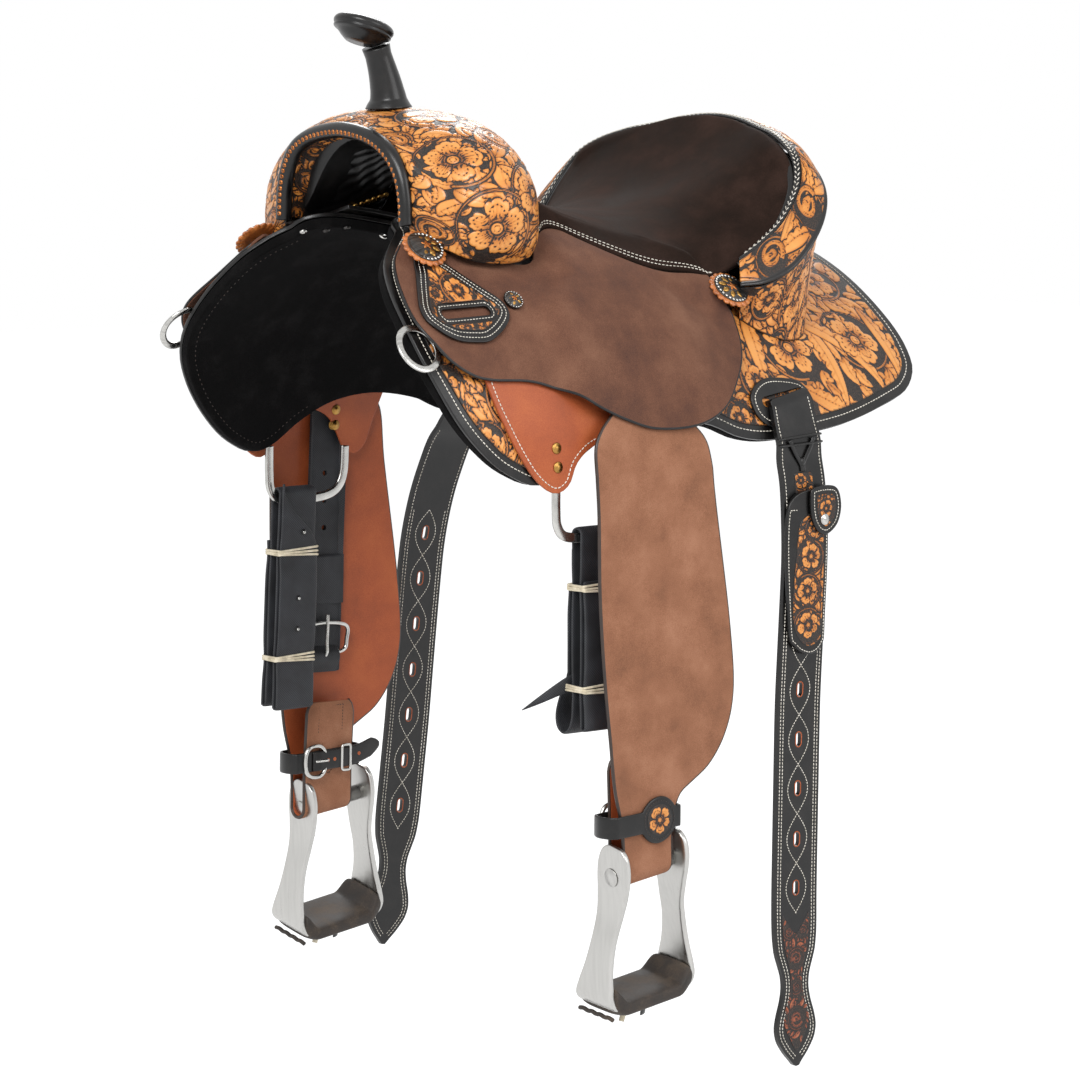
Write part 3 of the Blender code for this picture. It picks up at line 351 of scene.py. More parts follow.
# %% Tooled leather
def tooled(name, low, middle, high, ground="#17110d"):
    """Antiqued carved leather: dyed dark in the hollows, bare on top, black where ink is 1."""
    made, tree, out, at = blank(name)
    place = add(tree, "SeparateXYZ", {0: add(tree, "Attribute", attribute_name="bloom").outputs["Vector"]})
    form, line, tone_and_painted_shade = place.outputs
    ink = add(tree, "Attribute", attribute_name="ink").outputs["Fac"]
    cloud = add(tree, "TexNoise", {"Vector": at, "Scale": 55.0, "Detail": 5.0, "Roughness": 0.6})
    fine = add(tree, "TexNoise", {"Vector": at, "Scale": 900.0, "Detail": 3.0})
    grit = add(tree, "TexVoronoi", {"Vector": at, "Scale": 720.0})
    top = add(tree, "MapRange", {0: form, 1: 0.05, 2: 0.45}, interpolation_type="SMOOTHSTEP")
    cut = add(tree, "MapRange", {0: line, 1: -0.12, 2: 0.22, 3: 1.0, 4: 0.12},
              interpolation_type="SMOOTHSTEP")
    rub = add(tree, "MapRange", {0: line, 1: -1.6, 2: 0.0, 3: 1.0, 4: 0.80},
              interpolation_type="SMOOTHSTEP")
    # painted shade: belly darkens each form toward its edge, where its bevel slopes down
    belly = add(tree, "MapRange", {0: form, 1: 0.2, 2: 2.0, 3: 0.70, 4: 1.0},
                interpolation_type="SMOOTHSTEP")
    tone = add(tree, "Math", {0: top.outputs[0], 1: cut.outputs[0]}, operation="MULTIPLY")
    tone_2 = add(tree, "Math", {0: belly.outputs[0], 1: rub.outputs[0]}, operation="MULTIPLY")
    # painted shade: the bloom's third value darkens petals toward the eye and leaves toward their base
    tone_3 = add(tree, "Math", {0: tone_2.outputs[0], 1: tone_and_painted_shade}, operation="MULTIPLY")
    level_1 = add(tree, "Math", {0: tone.outputs[0], 1: tone_3.outputs[0]}, operation="MULTIPLY")
    spread = add(tree, "Math", {0: cloud.outputs[0], 1: 0.5, 2: -0.25}, operation="MULTIPLY_ADD")
    level = add(tree, "Math", {0: level_1.outputs[0], 1: spread.outputs[0]}, operation="ADD")
    body = add(tree, "ValToRGB", {0: level.outputs[0]},
               [(0.10, ground), (1.0, high), (0.36, low), (0.70, middle)])
    stipple = add(tree, "MapRange", {0: grit.outputs["Distance"], 1: 0.15, 2: 0.55, 3: 1.0, 4: 0.0})
    hollow = add(tree, "Math", {0: 1.0, 1: top.outputs[0]}, operation="SUBTRACT")
    pits = add(tree, "Math", {0: stipple.outputs[0], 1: hollow.outputs[0]}, operation="MULTIPLY")
    base = add(tree, "Mix", {0: pits.outputs[0], 6: body.outputs[0], 7: colour("#3f2c20")},
               data_type="RGBA")
    dyed = add(tree, "Mix", {0: ink, 6: base.outputs[2], 7: colour("#141211")}, data_type="RGBA")
    rough = add(tree, "MapRange", {0: level_1.outputs[0], 3: 0.55, 4: 0.36})
    height_1 = add(tree, "Math", {0: pits.outputs[0], 1: 0.35, 2: tone.outputs[0]},
                   operation="MULTIPLY_ADD")
    height_2 = add(tree, "Math", {0: fine.outputs[0], 1: 0.10, 2: height_1.outputs[0]},
                   operation="MULTIPLY_ADD")
    clear = add(tree, "Math", {0: 1.0, 1: ink}, operation="SUBTRACT")
    height = add(tree, "Math", {0: height_2.outputs[0], 1: clear.outputs[0]}, operation="MULTIPLY")
    bump = add(tree, "Bump", {"Height": height.outputs[0], "Strength": 0.75, "Distance": 0.0007})
    shader = add(tree, "BsdfPrincipled", {
        "Base Color": dyed.outputs[2], "Roughness": rough.outputs[0], "Normal": bump.outputs[0],
        "Coat Weight": 0.22, "Coat Roughness": 0.2, "Specular IOR Level": 0.4})
    tree.links.new(shader.outputs[0], out.inputs[0])
    return made


TOOLED = tooled("tooled_leather", "#7a4218", "#c87c34", "#e09a50")

# %% [markdown]
# Metal: stainless rings, brushed aluminium stirrups, brass nails and antiqued concho faces.
# A metal's colour is its reflection, so each has metallic 1, and its roughness differs along its brush lines.
# The lines are drawn 1 to 4 mm apart, coarser than life, so that they show.


# %% Metals
def metal(name, code, rough, brush=(900.0, 60.0, 60.0), depth=0.00004, dark=None):
    """Brushed metal: noise stretched along the brush lines changes the roughness and a very fine relief."""
    made, tree, out, at = blank(name)
    lines = add(tree, "Mapping", {"Vector": at, "Scale": brush})
    noise = add(tree, "TexNoise", {"Vector": lines.outputs[0], "Scale": 1.0, "Detail": 4.0})
    rub = add(tree, "MapRange", {0: noise.outputs[0], 1: 0.3, 2: 0.7, 3: rough * 0.75, 4: rough * 1.3})
    tone = add(tree, "ValToRGB", {0: noise.outputs[0]}, [(0.3, dark or code), (0.62, code)])
    bump = add(tree, "Bump", {"Height": noise.outputs[0], "Strength": 0.3, "Distance": depth})
    shader = add(tree, "BsdfPrincipled", {
        "Base Color": tone.outputs[0], "Metallic": 1.0, "Roughness": rub.outputs[0],
        "Normal": bump.outputs[0]})
    tree.links.new(shader.outputs[0], out.inputs[0])
    return made


STEEL = metal("stainless_steel", "#c9c8c4", 0.22, dark="#a9a8a5")
ALUMINIUM = metal("brushed_aluminium", "#c3c2bf", 0.36, (260.0, 260.0, 22.0), 0.000006, "#b6b5b2")
BRASS = metal("brass", "#b28a4c", 0.32, dark="#7c5a2a")
COPPER = metal("copper_spots", "#c07a44", 0.35, dark="#7d4722")

# %% [markdown]
# Light: a pale studio. The world lights evenly, one large lamp stands high on the camera's left for the gloss
# on the swell and horn, a weaker one fills from its right, and a third draws the edges from behind. World and
# floor are white to the camera and in reflections, and the floor keeps a faint shadow.


# %% Stage and lights
def lamp(name, place, power, size, aim=(0, 0, -0.25)):
    """A square area lamp that faces the saddle."""
    data = bpy.data.lights.new(name, "AREA")
    data.energy = power
    data.size = size
    made = bpy.data.objects.new(name, data)
    bpy.context.scene.collection.objects.link(made)
    made.location = place
    made.rotation_mode = "QUATERNION"
    made.rotation_quaternion = (Vector(aim) - Vector(place)).to_track_quat("-Z", "Y")
    return made


def shown(tree):
    """1 for rays that show the background: to the camera, or by way of metal, gloss or glass."""
    path = add(tree, "LightPath").outputs
    seen = add(tree, "Math", {0: path["Is Camera Ray"], 1: path["Is Glossy Ray"]}, operation="MAXIMUM")
    return add(tree, "Math", {0: seen.outputs[0], 1: path["Is Transmission Ray"]},
               operation="MAXIMUM").outputs[0]


lamp("key", (1.5, -2.4, 1.7), 74, 1.4)
lamp("fill", (2.9, 0.6, 1.0), 34, 1.8)
lamp("rim", (-1.9, 1.6, 1.8), 44, 1.2)

world = bpy.data.worlds.new("studio")
bpy.context.scene.world = world
world.use_nodes = True
tree = world.node_tree
tree.nodes.clear()
soft = add(tree, "Background", {"Color": colour("#f3f4f6"), "Strength": 0.54})
white = add(tree, "Background", {"Color": (1, 1, 1, 1), "Strength": 1.0})
pick = add(tree, "MixShader", {0: shown(tree), 1: soft.outputs[0], 2: white.outputs[0]})
tree.links.new(pick.outputs[0], add(tree, "OutputWorld").inputs[0])

FLOOR_Z = cad_low.z - 0.012
floor_mesh = bpy.data.meshes.new("floor")
floor_mesh.from_pydata([(-9, -9, FLOOR_Z), (9, -9, FLOOR_Z), (9, 9, FLOOR_Z), (-9, 9, FLOOR_Z)], [],
                       [(0, 1, 2, 3)])
floor = bpy.data.objects.new("floor", floor_mesh)
bpy.context.scene.collection.objects.link(floor)
made, tree, out, at = blank("white_floor")
matte = add(tree, "BsdfDiffuse", {"Color": colour("#f7f7f7")})
faint = add(tree, "BsdfDiffuse", {"Color": colour("#a0a0a0")})
glow = add(tree, "Emission", {"Color": (1, 1, 1, 1), "Strength": 0.88})
lit = add(tree, "AddShader", {0: faint.outputs[0], 1: glow.outputs[0]})
pick = add(tree, "MixShader", {0: shown(tree), 1: matte.outputs[0], 2: lit.outputs[0]})
tree.links.new(pick.outputs[0], out.inputs[0])
floor_mesh.materials.append(made)

# %% [markdown]
# Shapes are worked out in millimetres, on the same construction as the CAD, and dropped by REST at the end.
# A surface is a grid of points computed as whole arrays; these helpers turn grids into closed meshes.

# %% Construction values, as in the CAD
REST = 95.0
SKIRT = 5.0
LEATHER = 3.4
SWING_Y = -50.0
BOLT = (233.2, -55.0, -471.0)
STIRRUP_TILT, STIRRUP_TURN = 8.0, 14.0
HANG = {"near": 0.4, "off": 1.6}
RING_X = 214.3
FRONT, REAR = -250.0, 300.0
SIDES = ((1, "near"), (-1, "off"))
GX, GW = np.polynomial.legendre.leggauss(12)
GX = (GX + 1) / 2
GW = GW / 2


def slope(w, s, plain=False):
    """How steeply the side panel falls, s down the side, with w from 0 at the front to 1 at the rear."""
    s = np.maximum(s, 0)
    deg = 35 - 5 * w + (47 - 7 * w) * (s / 320) ** 1.4
    if not plain:
        deg = deg - (10 + 96 * w * (1 - w)) * np.exp(-((s / 70) ** 2)) + 13 * step(150, 280, s)
    return np.radians(deg)


def back(y, s, h=0.0, side=1):
    """Point of the side panel: y along the saddle, s down the side, h out from the skirt's underside."""
    y, s, h = np.broadcast_arrays(np.asarray(y, float), np.asarray(s, float), np.asarray(h, float))
    w = np.clip((y - FRONT) / (REAR - FRONT), 0, 1)
    draw = (25 - 15 * step(110, 240, s)) * step(-130, -285, y)
    t = slope(w[..., None], 115 * GX, True)
    x = 50 + 115 * (np.cos(t) @ GW)
    z = 145 - 63 * w - 115 * (np.sin(t) @ GW)
    t = slope(w[..., None], 115 + (s[..., None] - 115) * GX)
    x = x + (s - 115) * (np.cos(t) @ GW)
    z = z - (s - 115) * (np.sin(t) @ GW)
    t = slope(w, s)
    return np.stack([side * (x - draw + h * np.sin(t)), y + 0.84 * draw, z - 0.14 * draw + h * np.cos(t)],
                    -1)


def angles(n):
    """n angles evenly round a circle."""
    return np.linspace(0, 2 * np.pi, n, endpoint=False)


def squash(wave, power):
    """A cosine or sine pushed outward, which turns a circle into a rounded rectangle."""
    return np.sign(wave) * np.abs(wave) ** power


def travel(points):
    """How far along a line each of its points is."""
    return np.concatenate([[0], np.cumsum(np.linalg.norm(np.diff(points, axis=0), axis=1))])


def picked(at, gone, rows):
    """Rows of numbers read off at the places `at`, where `gone` is each row's own place."""
    return np.stack([np.interp(at, gone, column) for column in rows.T], 1)


def arched(half, n):
    """Half an arch and its mirror image, as one line of n points."""
    return curve(half + [(-x, z) for x, z in half[-2::-1]], n)


def mirrored(flowers):
    """Flowers or scrolls on the other side of the middle."""
    return [(-a, b, r, 180 - turn, -hand) for a, b, r, turn, hand in flowers]


def curve(points, n, closed=False):
    """Smooth line through the points (Catmull-Rom), as n points evenly spaced along it."""
    p = np.array(points, float)
    m = len(p)
    seg = m if closed else m - 1
    t = np.linspace(0, seg, 24 * seg + 1)
    i = np.minimum(t.astype(int), seg - 1)
    f = (t - i)[:, None]
    if closed:
        a, b, c, d = (p[(i + k) % m] for k in (-1, 0, 1, 2))
    else:
        q = np.vstack([2 * p[0] - p[1], p, 2 * p[-1] - p[-2]])
        a, b, c, d = (q[i + k] for k in (0, 1, 2, 3))
    out = 0.5 * (2 * b + (c - a) * f + (2 * a - 5 * b + 4 * c - d) * f**2 + (3 * b - a - 3 * c + d) * f**3)
    return spaced(out, n, closed)


def spaced(points, n, closed=False):
    """n points evenly spaced along a dense line. A closed line's last point is its first."""
    gone = travel(points)
    return picked(np.linspace(0, gone[-1], n, endpoint=not closed), gone, points)


def run(points, closed=False):
    """Length of a line."""
    p = np.vstack([points, points[:1]]) if closed else np.asarray(points)
    return np.linalg.norm(np.diff(p, axis=0), axis=1).sum()


def unit(v):
    """Vectors at length one."""
    return v / np.maximum(np.linalg.norm(v, axis=-1, keepdims=True), 1e-12)


def tangent(path, closed=False):
    """Direction of a line at each of its points."""
    return unit(np.roll(path, -1, 0) - np.roll(path, 1, 0) if closed else np.gradient(path, axis=0))


def quarter(way):
    """Directions in a plane, turned a quarter to the left."""
    return np.stack([-way[:, 1], way[:, 0]], 1)


def straight_out(side, points):
    """The way out of a standing strap, toward the side given, at each of its points."""
    return np.broadcast_to([side, 0, 0.0], points.shape)


def inside(p, loop):
    """Whether each point is inside the loop, by counting crossings."""
    x, y = p[:, 0][:, None], p[:, 1][:, None]
    ax, ay = loop.T
    bx, by = np.roll(ax, -1), np.roll(ay, -1)
    cross = ((ay > y) != (by > y)) & (x < (bx - ax) * (y - ay) / (by - ay + 1e-12) + ax)
    return cross.sum(1) % 2 == 1


def gap_to(p, loop):
    """Distance of each point from a closed loop."""
    way = np.roll(loop, -1, axis=0) - loop
    best = np.full(len(p), 1e9)
    for start in range(0, len(p), 4000):
        q = p[start : start + 4000]
        t = ((q[:, None] - loop) * way).sum(-1) / ((way**2).sum(-1) + 1e-9)
        near = loop + way * np.clip(t, 0, 1)[..., None]
        best[start : start + 4000] = np.linalg.norm(q[:, None] - near, axis=-1).min(1)
    return best


def inset(loop, d):
    """A closed loop moved inward by d."""
    way = tangent(loop, True)
    side = quarter(way)
    if inside(loop[:1] + side[:1] * 0.5, loop)[0]:
        return loop + side * d
    return loop - side * d


def hung(points, side):
    """Leg pieces hang turned about the swing axis, by the side's own angle."""
    a = math.radians(HANG["near" if side > 0 else "off"])
    y, z = points[..., 1] - SWING_Y, points[..., 2] + 20
    return np.stack([points[..., 0], SWING_Y + y * np.cos(a) + z * np.sin(a),
                     -20 + z * np.cos(a) - y * np.sin(a)], -1)


# %% Mesh helpers
def quads(rows, cols, round_rows=False, round_cols=False):
    """Faces of a grid of points, which may close on itself either way."""
    i = np.arange(rows if round_rows else rows - 1)[:, None]
    j = np.arange(cols if round_cols else cols - 1)[None]
    a, b = i * cols + j, i * cols + (j + 1) % cols
    c, d = ((i + 1) % rows) * cols + (j + 1) % cols, ((i + 1) % rows) * cols + j
    return np.stack(np.broadcast_arrays(a, b, c, d), -1).reshape(-1, 4)


def piece(name, points, faces, material, node=None, body=None, slot=None, replace=True, smooth=True,
          facing=True, **values):
    """A finished mesh. It rides on a body, may stand for a CAD node, and carries point values."""
    mesh = bpy.data.meshes.new(name)
    points = (np.asarray(points, float).reshape(-1, 3) - (0, 0, REST)) / 1000
    mesh.from_pydata(points.tolist(), [], [f.tolist() if hasattr(f, "tolist") else list(f) for f in faces])
    if facing:
        work = bmesh.new()
        work.from_mesh(mesh)
        bmesh.ops.recalc_face_normals(work, faces=work.faces)
        if work.calc_volume(signed=True) < 0:
            bmesh.ops.reverse_faces(work, faces=work.faces)
        work.to_mesh(mesh)
        work.free()
    for key, value in values.items():
        value = np.asarray(value, np.float32)
        if value.ndim == 1:
            mesh.attributes.new(key, "FLOAT", "POINT").data.foreach_set("value", value)
        else:
            mesh.attributes.new(key, "FLOAT_VECTOR", "POINT").data.foreach_set("vector", value.ravel())
    mesh.materials.append(material)
    mesh.polygons.foreach_set("use_smooth", np.full(len(mesh.polygons), smooth))
    made = bpy.data.objects.new(name, mesh)
    bpy.context.scene.collection.objects.link(made)
    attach(made, body or BODY_OF[node])
    if node and replace:
        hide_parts(node)
    return made


def loft(name, rings, material, around=False, caps=True, **more):
    """Closed rings of equal count joined in turn, capped at both ends unless they go all the way round."""
    rings = np.asarray(rings, float)
    m, n = rings.shape[:2]
    faces = list(quads(m, n, around, True))
    if not around and caps:
        faces += [np.arange(n)[::-1], (m - 1) * n + np.arange(n)]
    return piece(name, rings.reshape(-1, 3), faces, material, **more)


def tube(name, path, radius, material, n=10, around=False, up=(0, 0, 1), flat=1.0, **more):
    """A round or oval rod along a path."""
    path = np.asarray(path, float)
    way = tangent(path, around)
    u = unit(np.cross(way, up))
    v = np.cross(way, u)
    t = angles(n)[None, :, None]
    r = np.broadcast_to(np.asarray(radius, float), len(path))[:, None, None]
    return loft(name, path[:, None] + r * (np.cos(t) * u[:, None] + flat * np.sin(t) * v[:, None]),
                material, around, **more)


def softened(made, width, segments=2, angle=35):
    """Round the sharp edges of a piece by so many millimetres."""
    bevel = made.modifiers.new("worn edges", "BEVEL")
    bevel.width = width / 1000
    bevel.segments = segments
    bevel.limit_method = "ANGLE"
    bevel.angle_limit = math.radians(angle)
    bevel.harden_normals = True
    return made


def sheet(name, outline, surface, low, high, material, holes=(), spacing=8.0, values=None, exact=False,
          **more):
    """A sheet of leather over a surface. low and high are heights, or functions that give them."""
    rim = np.array(outline, float)
    if not exact:
        rim = curve(rim, max(12, int(run(rim, True) / spacing)), True)
    loops = [rim] + [np.array(h, float) for h in holes]
    lo, hi = rim.min(0), rim.max(0)
    a = np.arange(lo[0], hi[0], spacing)
    b = np.arange(lo[1], hi[1], spacing)
    inner = np.stack(np.meshgrid(a, b), -1)
    inner[1::2, :, 0] += spacing / 2
    inner = inner.reshape(-1, 2)
    inner = inner[inside(inner, rim)]
    for loop in loops:
        inner = inner[gap_to(inner, loop) > 0.6 * spacing]
    for hole in loops[1:]:
        inner = inner[~inside(inner, hole)]
    flat = np.vstack(loops + [inner])
    edges, start = [], 0
    for loop in loops:
        n = len(loop)
        edges += [(start + k, start + (k + 1) % n) for k in range(n)]
        start += n
    verts, _, tris, *_ = delaunay_2d_cdt([Vector(p) for p in flat], edges, [], 0, 1e-6)
    flat = np.array([tuple(v) for v in verts])
    tris = np.array([t for t in tris if len(t) == 3])
    middle = flat[tris].mean(1)
    keep = inside(middle, rim)
    for hole in loops[1:]:
        keep &= ~inside(middle, hole)
    used, tris = np.unique(tris[keep], return_inverse=True)
    tris = tris.reshape(-1, 3)
    flat = flat[used]
    n = len(flat)
    edge = np.min([gap_to(flat, loop) for loop in loops], axis=0)
    extra = values(*flat.T, edge) if values else {}
    lift = extra.pop("lift", 0.0)

    def at(h, more=0.0):
        return surface(*flat.T, (h(*flat.T) if callable(h) else h + 0 * flat[:, 0]) + more)

    ends = np.concatenate([tris[:, [0, 1]], tris[:, [1, 2]], tris[:, [2, 0]]])
    both = {tuple(e) for e in ends.tolist()}
    rim_edges = np.array([e for e in ends.tolist() if (e[1], e[0]) not in both])
    walls = np.stack([rim_edges[:, 1], rim_edges[:, 0], rim_edges[:, 0] + n, rim_edges[:, 1] + n], 1)
    faces = tris.tolist() + (tris[:, ::-1] + n).tolist() + walls.tolist()
    doubled = {k: np.concatenate([v, v]) for k, v in extra.items()}
    return piece(name, np.vstack([at(high, lift), at(low)]), faces, material, **doubled, **more)


# %% [markdown]
# Stitching is saddle-stitched linen thread. Each stitch is a small rounded bar that lies on the leather,
# so it is made as one: a six-sided capsule of 18 faces, copied along the seam by whole-array arithmetic.

# %% Stitches
CAP_T = angles(6)
CAPSULE = np.vstack([[(-1, 0, 0)]] + [np.stack([np.full(6, k), np.cos(CAP_T), np.sin(CAP_T)],
                                               1) for k in (-0.72, 0.72)]
                    + [[(1, 0, 0)]])
CAP_FACES = ([(0, 1 + (k + 1) % 6, 1 + k) for k in range(6)]
             + [(1 + k, 1 + (k + 1) % 6, 7 + (k + 1) % 6, 7 + k) for k in range(6)]
             + [(13, 7 + k, 7 + (k + 1) % 6) for k in range(6)])


def stitches(name, path, out, pitch=4.0, long=3.1, wide=1.0, closed=False, sink=0.1, turn=0.0,
             material=None, **more):
    """Stitches along a line. out leads out of the leather, and turn leans each stitch, in degrees."""
    path, out = np.asarray(path, float), np.asarray(out, float)
    if closed:
        path, out = np.vstack([path, path[:1]]), np.vstack([out, out[:1]])
    n = max(2, int(run(path) / pitch))
    gone = travel(path)
    at = (np.arange(n) + 0.5) * gone[-1] / n
    spot = picked(at, gone, path)
    up = unit(picked(at, gone, out))
    way = unit(picked(at + 0.5, gone, path) - picked(at - 0.5, gone, path))
    across = unit(np.cross(up, way))
    a = math.radians(turn)
    way, across = way * np.cos(a) + across * np.sin(a), across * np.cos(a) - way * np.sin(a)
    axes = np.stack([way * long / 2, across * wide / 2, up * wide / 2], 1)
    points = spot[:, None] + up[:, None] * sink + CAPSULE @ axes
    faces = (np.array([list(f) + [f[-1]] * (4 - len(f)) for f in CAP_FACES])[None]
             + 14 * np.arange(n)[:, None, None])
    faces = [f[:3] if f[2] == f[3] else f for f in faces.reshape(-1, 4).tolist()]
    return piece(name, points, faces, material or THREAD, facing=False, **more)


def seam(name, outline, surface, h, d=6.0, part=None, **more):
    """Stitches along a sheet's outline, d inside its edge. part keeps only a share of the loop."""
    loop = inset(curve(outline, 400, True), d)
    if part is not None:
        loop = loop[part(loop)]
    level = h(*loop.T) if callable(h) else h
    on = surface(*loop.T, level)
    out = surface(*loop.T, level + 1.0) - on
    return stitches(name, on, out, closed=part is None, **more)


# %% [markdown]
# The skirts are the two big leather panels that carry everything. Each is a sheet over the side surface,
# with its outline in that surface's own (y, s). The black border with one row of stitches is the base sheet;
# the carved leather is a second skin on it, dense enough to carry the relief, cut to the border's inner line.

# %% Skirt outlines
SKIRT_EDGE = [
    (-226, 42), (-234, 60), (-256, 82), (-274, 103), (-284, 131), (-286, 163), (-281, 201), (-267, 238),
    (-247, 270),
    (-218, 297), (-192, 311), (-168, 317), (-142, 308), (-110, 285), (-70, 264), (-20, 254), (33, 258),
    (69, 269),
    (111, 270), (182, 257), (222, 246), (264, 230), (291, 217), (311, 196), (318, 172), (320, 148),
    (319, 120), (317, 85),
    (315, 46), (313, 10), (306, -30), (286, -38), (260, -30), (230, 0), (150, 8), (0, 8), (-120, 8),
    (-190, 20),
]
JOCKEY_EDGE = [
    (-249, 87), (-268, 108), (-279, 139), (-283, 176), (-267, 204), (-239, 222), (-216, 227), (-176, 227),
    (-152, 231),
    (-131, 238), (-111, 249), (-79, 260), (-46, 266), (2, 262), (41, 246), (68, 221), (88, 193), (99, 158),
    (93, 136), (88, 116),
]
SEAM = [(-97, 82), (-74, 67), (-55, 65), (-41, 78), (-17, 94), (10, 107), (36, 113), (68, 112), (84, 113)]
UNDER_SWELL = [(-112, 104), (-150, 106), (-190, 100), (-225, 92)]
PLATE_EDGE = [
    (-200, 150), (-219, 205), (-216, 240), (-200, 275), (-182, 302), (-166, 317), (-150, 323), (-136, 315),
    (-127, 296),
    (-108, 281), (-84, 276), (-62, 284), (-50, 300), (-42, 313), (-28, 318), (-14, 308), (-6, 286),
    (6, 250), (10, 205), (0, 150), (-100, 140),
]
KEEPER_EDGE = [
    (-250, 110), (-257, 126), (-266, 145), (-275, 164), (-275, 178), (-264, 189), (-246, 195), (-225, 196),
    (-208, 194),
    (-190, 184), (-177, 172), (-174, 161), (-179, 151), (-192, 140), (-206, 127), (-219, 114), (-234, 104),
]
SLOT_PLATE = [(88, 228), (87, 246), (100, 258), (128, 261), (152, 252), (162, 238), (158, 222), (145, 214),
              (110, 214)]
BORDER = 13.0
PLATE_LEVELS = (6.2, 9.4)
KEEPER_SLOT = ((-249, 171), (-200, 165))
FLOWERS_REAR = [
    (182, 102, 28, 10, 1), (256, 80, 26, 60, -1), (160, 178, 30, 35, 1), (254, 164, 29, 100, -1),
    (104, 216, 17, 80, 1), (300, 22, 17, 120, 1), (224, 20, 18, 120, -1), (70, 252, 14, 140, 1),
]
FRONDS_REAR = [
    (176, 138, 18, 130, 62, 10.0, 1), (196, 140, 76, 105, 18, 9.0, -1), (128, 138, 108, 92, -20, 9.5, 1),
    (150, 216, 30, 130, -34, 9.5, 1),
    (216, 112, -66, 84, -30, 8.5, -1), (190, 214, 48, 74, -36, 7.5, 1), (132, 226, 60, 60, -30, 7.0, 1),
    (128, 132, -70, 90, 20, 9.0, -1),
    (286, 118, 80, 96, 20, 8.0, 1), (276, 196, 100, 54, 20, 7.0, -1), (96, 180, 96, 60, -16, 7.5, 1),
    (152, 132, -100, 70, -20, 7.5, 1),
]
FLOWERS_KEEPER = [(-222, 146, 15, 20, 1), (-250, 150, 9, 90, -1), (-196, 156, 10, 0, 1),
                  (-230, 184, 10, 0, 1)]
FINE_STITCH = {"long": 2.4, "pitch": 3.1, "wide": 0.8}
FLOWERS_FRONT = [
    (-262, 232, 17, 10, 1), (-222, 284, 18, 70, -1), (-176, 300, 14, 130, 1), (-268, 150, 18, 200, -1),
    (-236, 76, 20, 0, 1), (-190, 240, 24, 90, 1),
]


def panel(side):
    """The side surface of the near (1) or off (-1) side."""
    return lambda y, s, h: back(y, s, h, side)


def jockey_low(y, s):
    """Height of the jockey's underside over the skirt, lifted where it crosses the plate, fender and dee."""
    lift = step(110, 170, s)
    over_plate = step(-272, -236, y)
    over_fender = step(-150, -115, y - 45 * (1 - lift)) * (1 - step(5, 85, y))
    over_dee = np.exp(-(((y + 266) / 42) ** 2) - ((s - 192) / 40) ** 2) * (1 - over_plate)
    near_seam = step(165, 118, s) * step(-120, -75, y)
    return 6.0 + 4.2 * over_plate + 9.5 * over_dee + 13.0 * np.maximum(over_fender, near_seam)


def jockey_high(y, s):
    """Height of the jockey's upper face."""
    return jockey_low(y, s) + LEATHER


def keeper_top(y, s):
    """Height of the latigo keeper's upper face, which lies on the jockey."""
    return jockey_high(y, s) + 3.9


def cropped(loop, keep):
    """The run of a closed loop that passes the test, in order."""
    ok = keep(loop)
    start = int(np.argmax(ok & ~np.roll(ok, 1)))
    return np.roll(loop, -start, 0)[np.roll(ok, -start)]


def carving(flowers, border=1.2, depth=0.7, fronds=()):
    """Point values for a carved sheet: bloom places, black dye at its very edge, and the relief."""
    def values(a, b, rim):
        place = bloom(a, b, flowers, fronds)
        ink = 1 - step(0.35 * border, border, rim)
        return {"bloom": place, "ink": ink, "lift": carved(place, depth) * (1 - ink)}
    return values


def slot_loop(a, b, half, n=7):
    """A slot with round ends, from a to b."""
    a, b = np.array(a, float), np.array(b, float)
    way = (b - a) / np.linalg.norm(b - a)
    side = np.array([-way[1], way[0]])
    t = np.linspace(0, np.pi, n)[:, None]
    return np.vstack([b + half * (np.sin(t) * way + np.cos(t) * side),
                      a + half * (-np.sin(t) * way - np.cos(t) * side)])


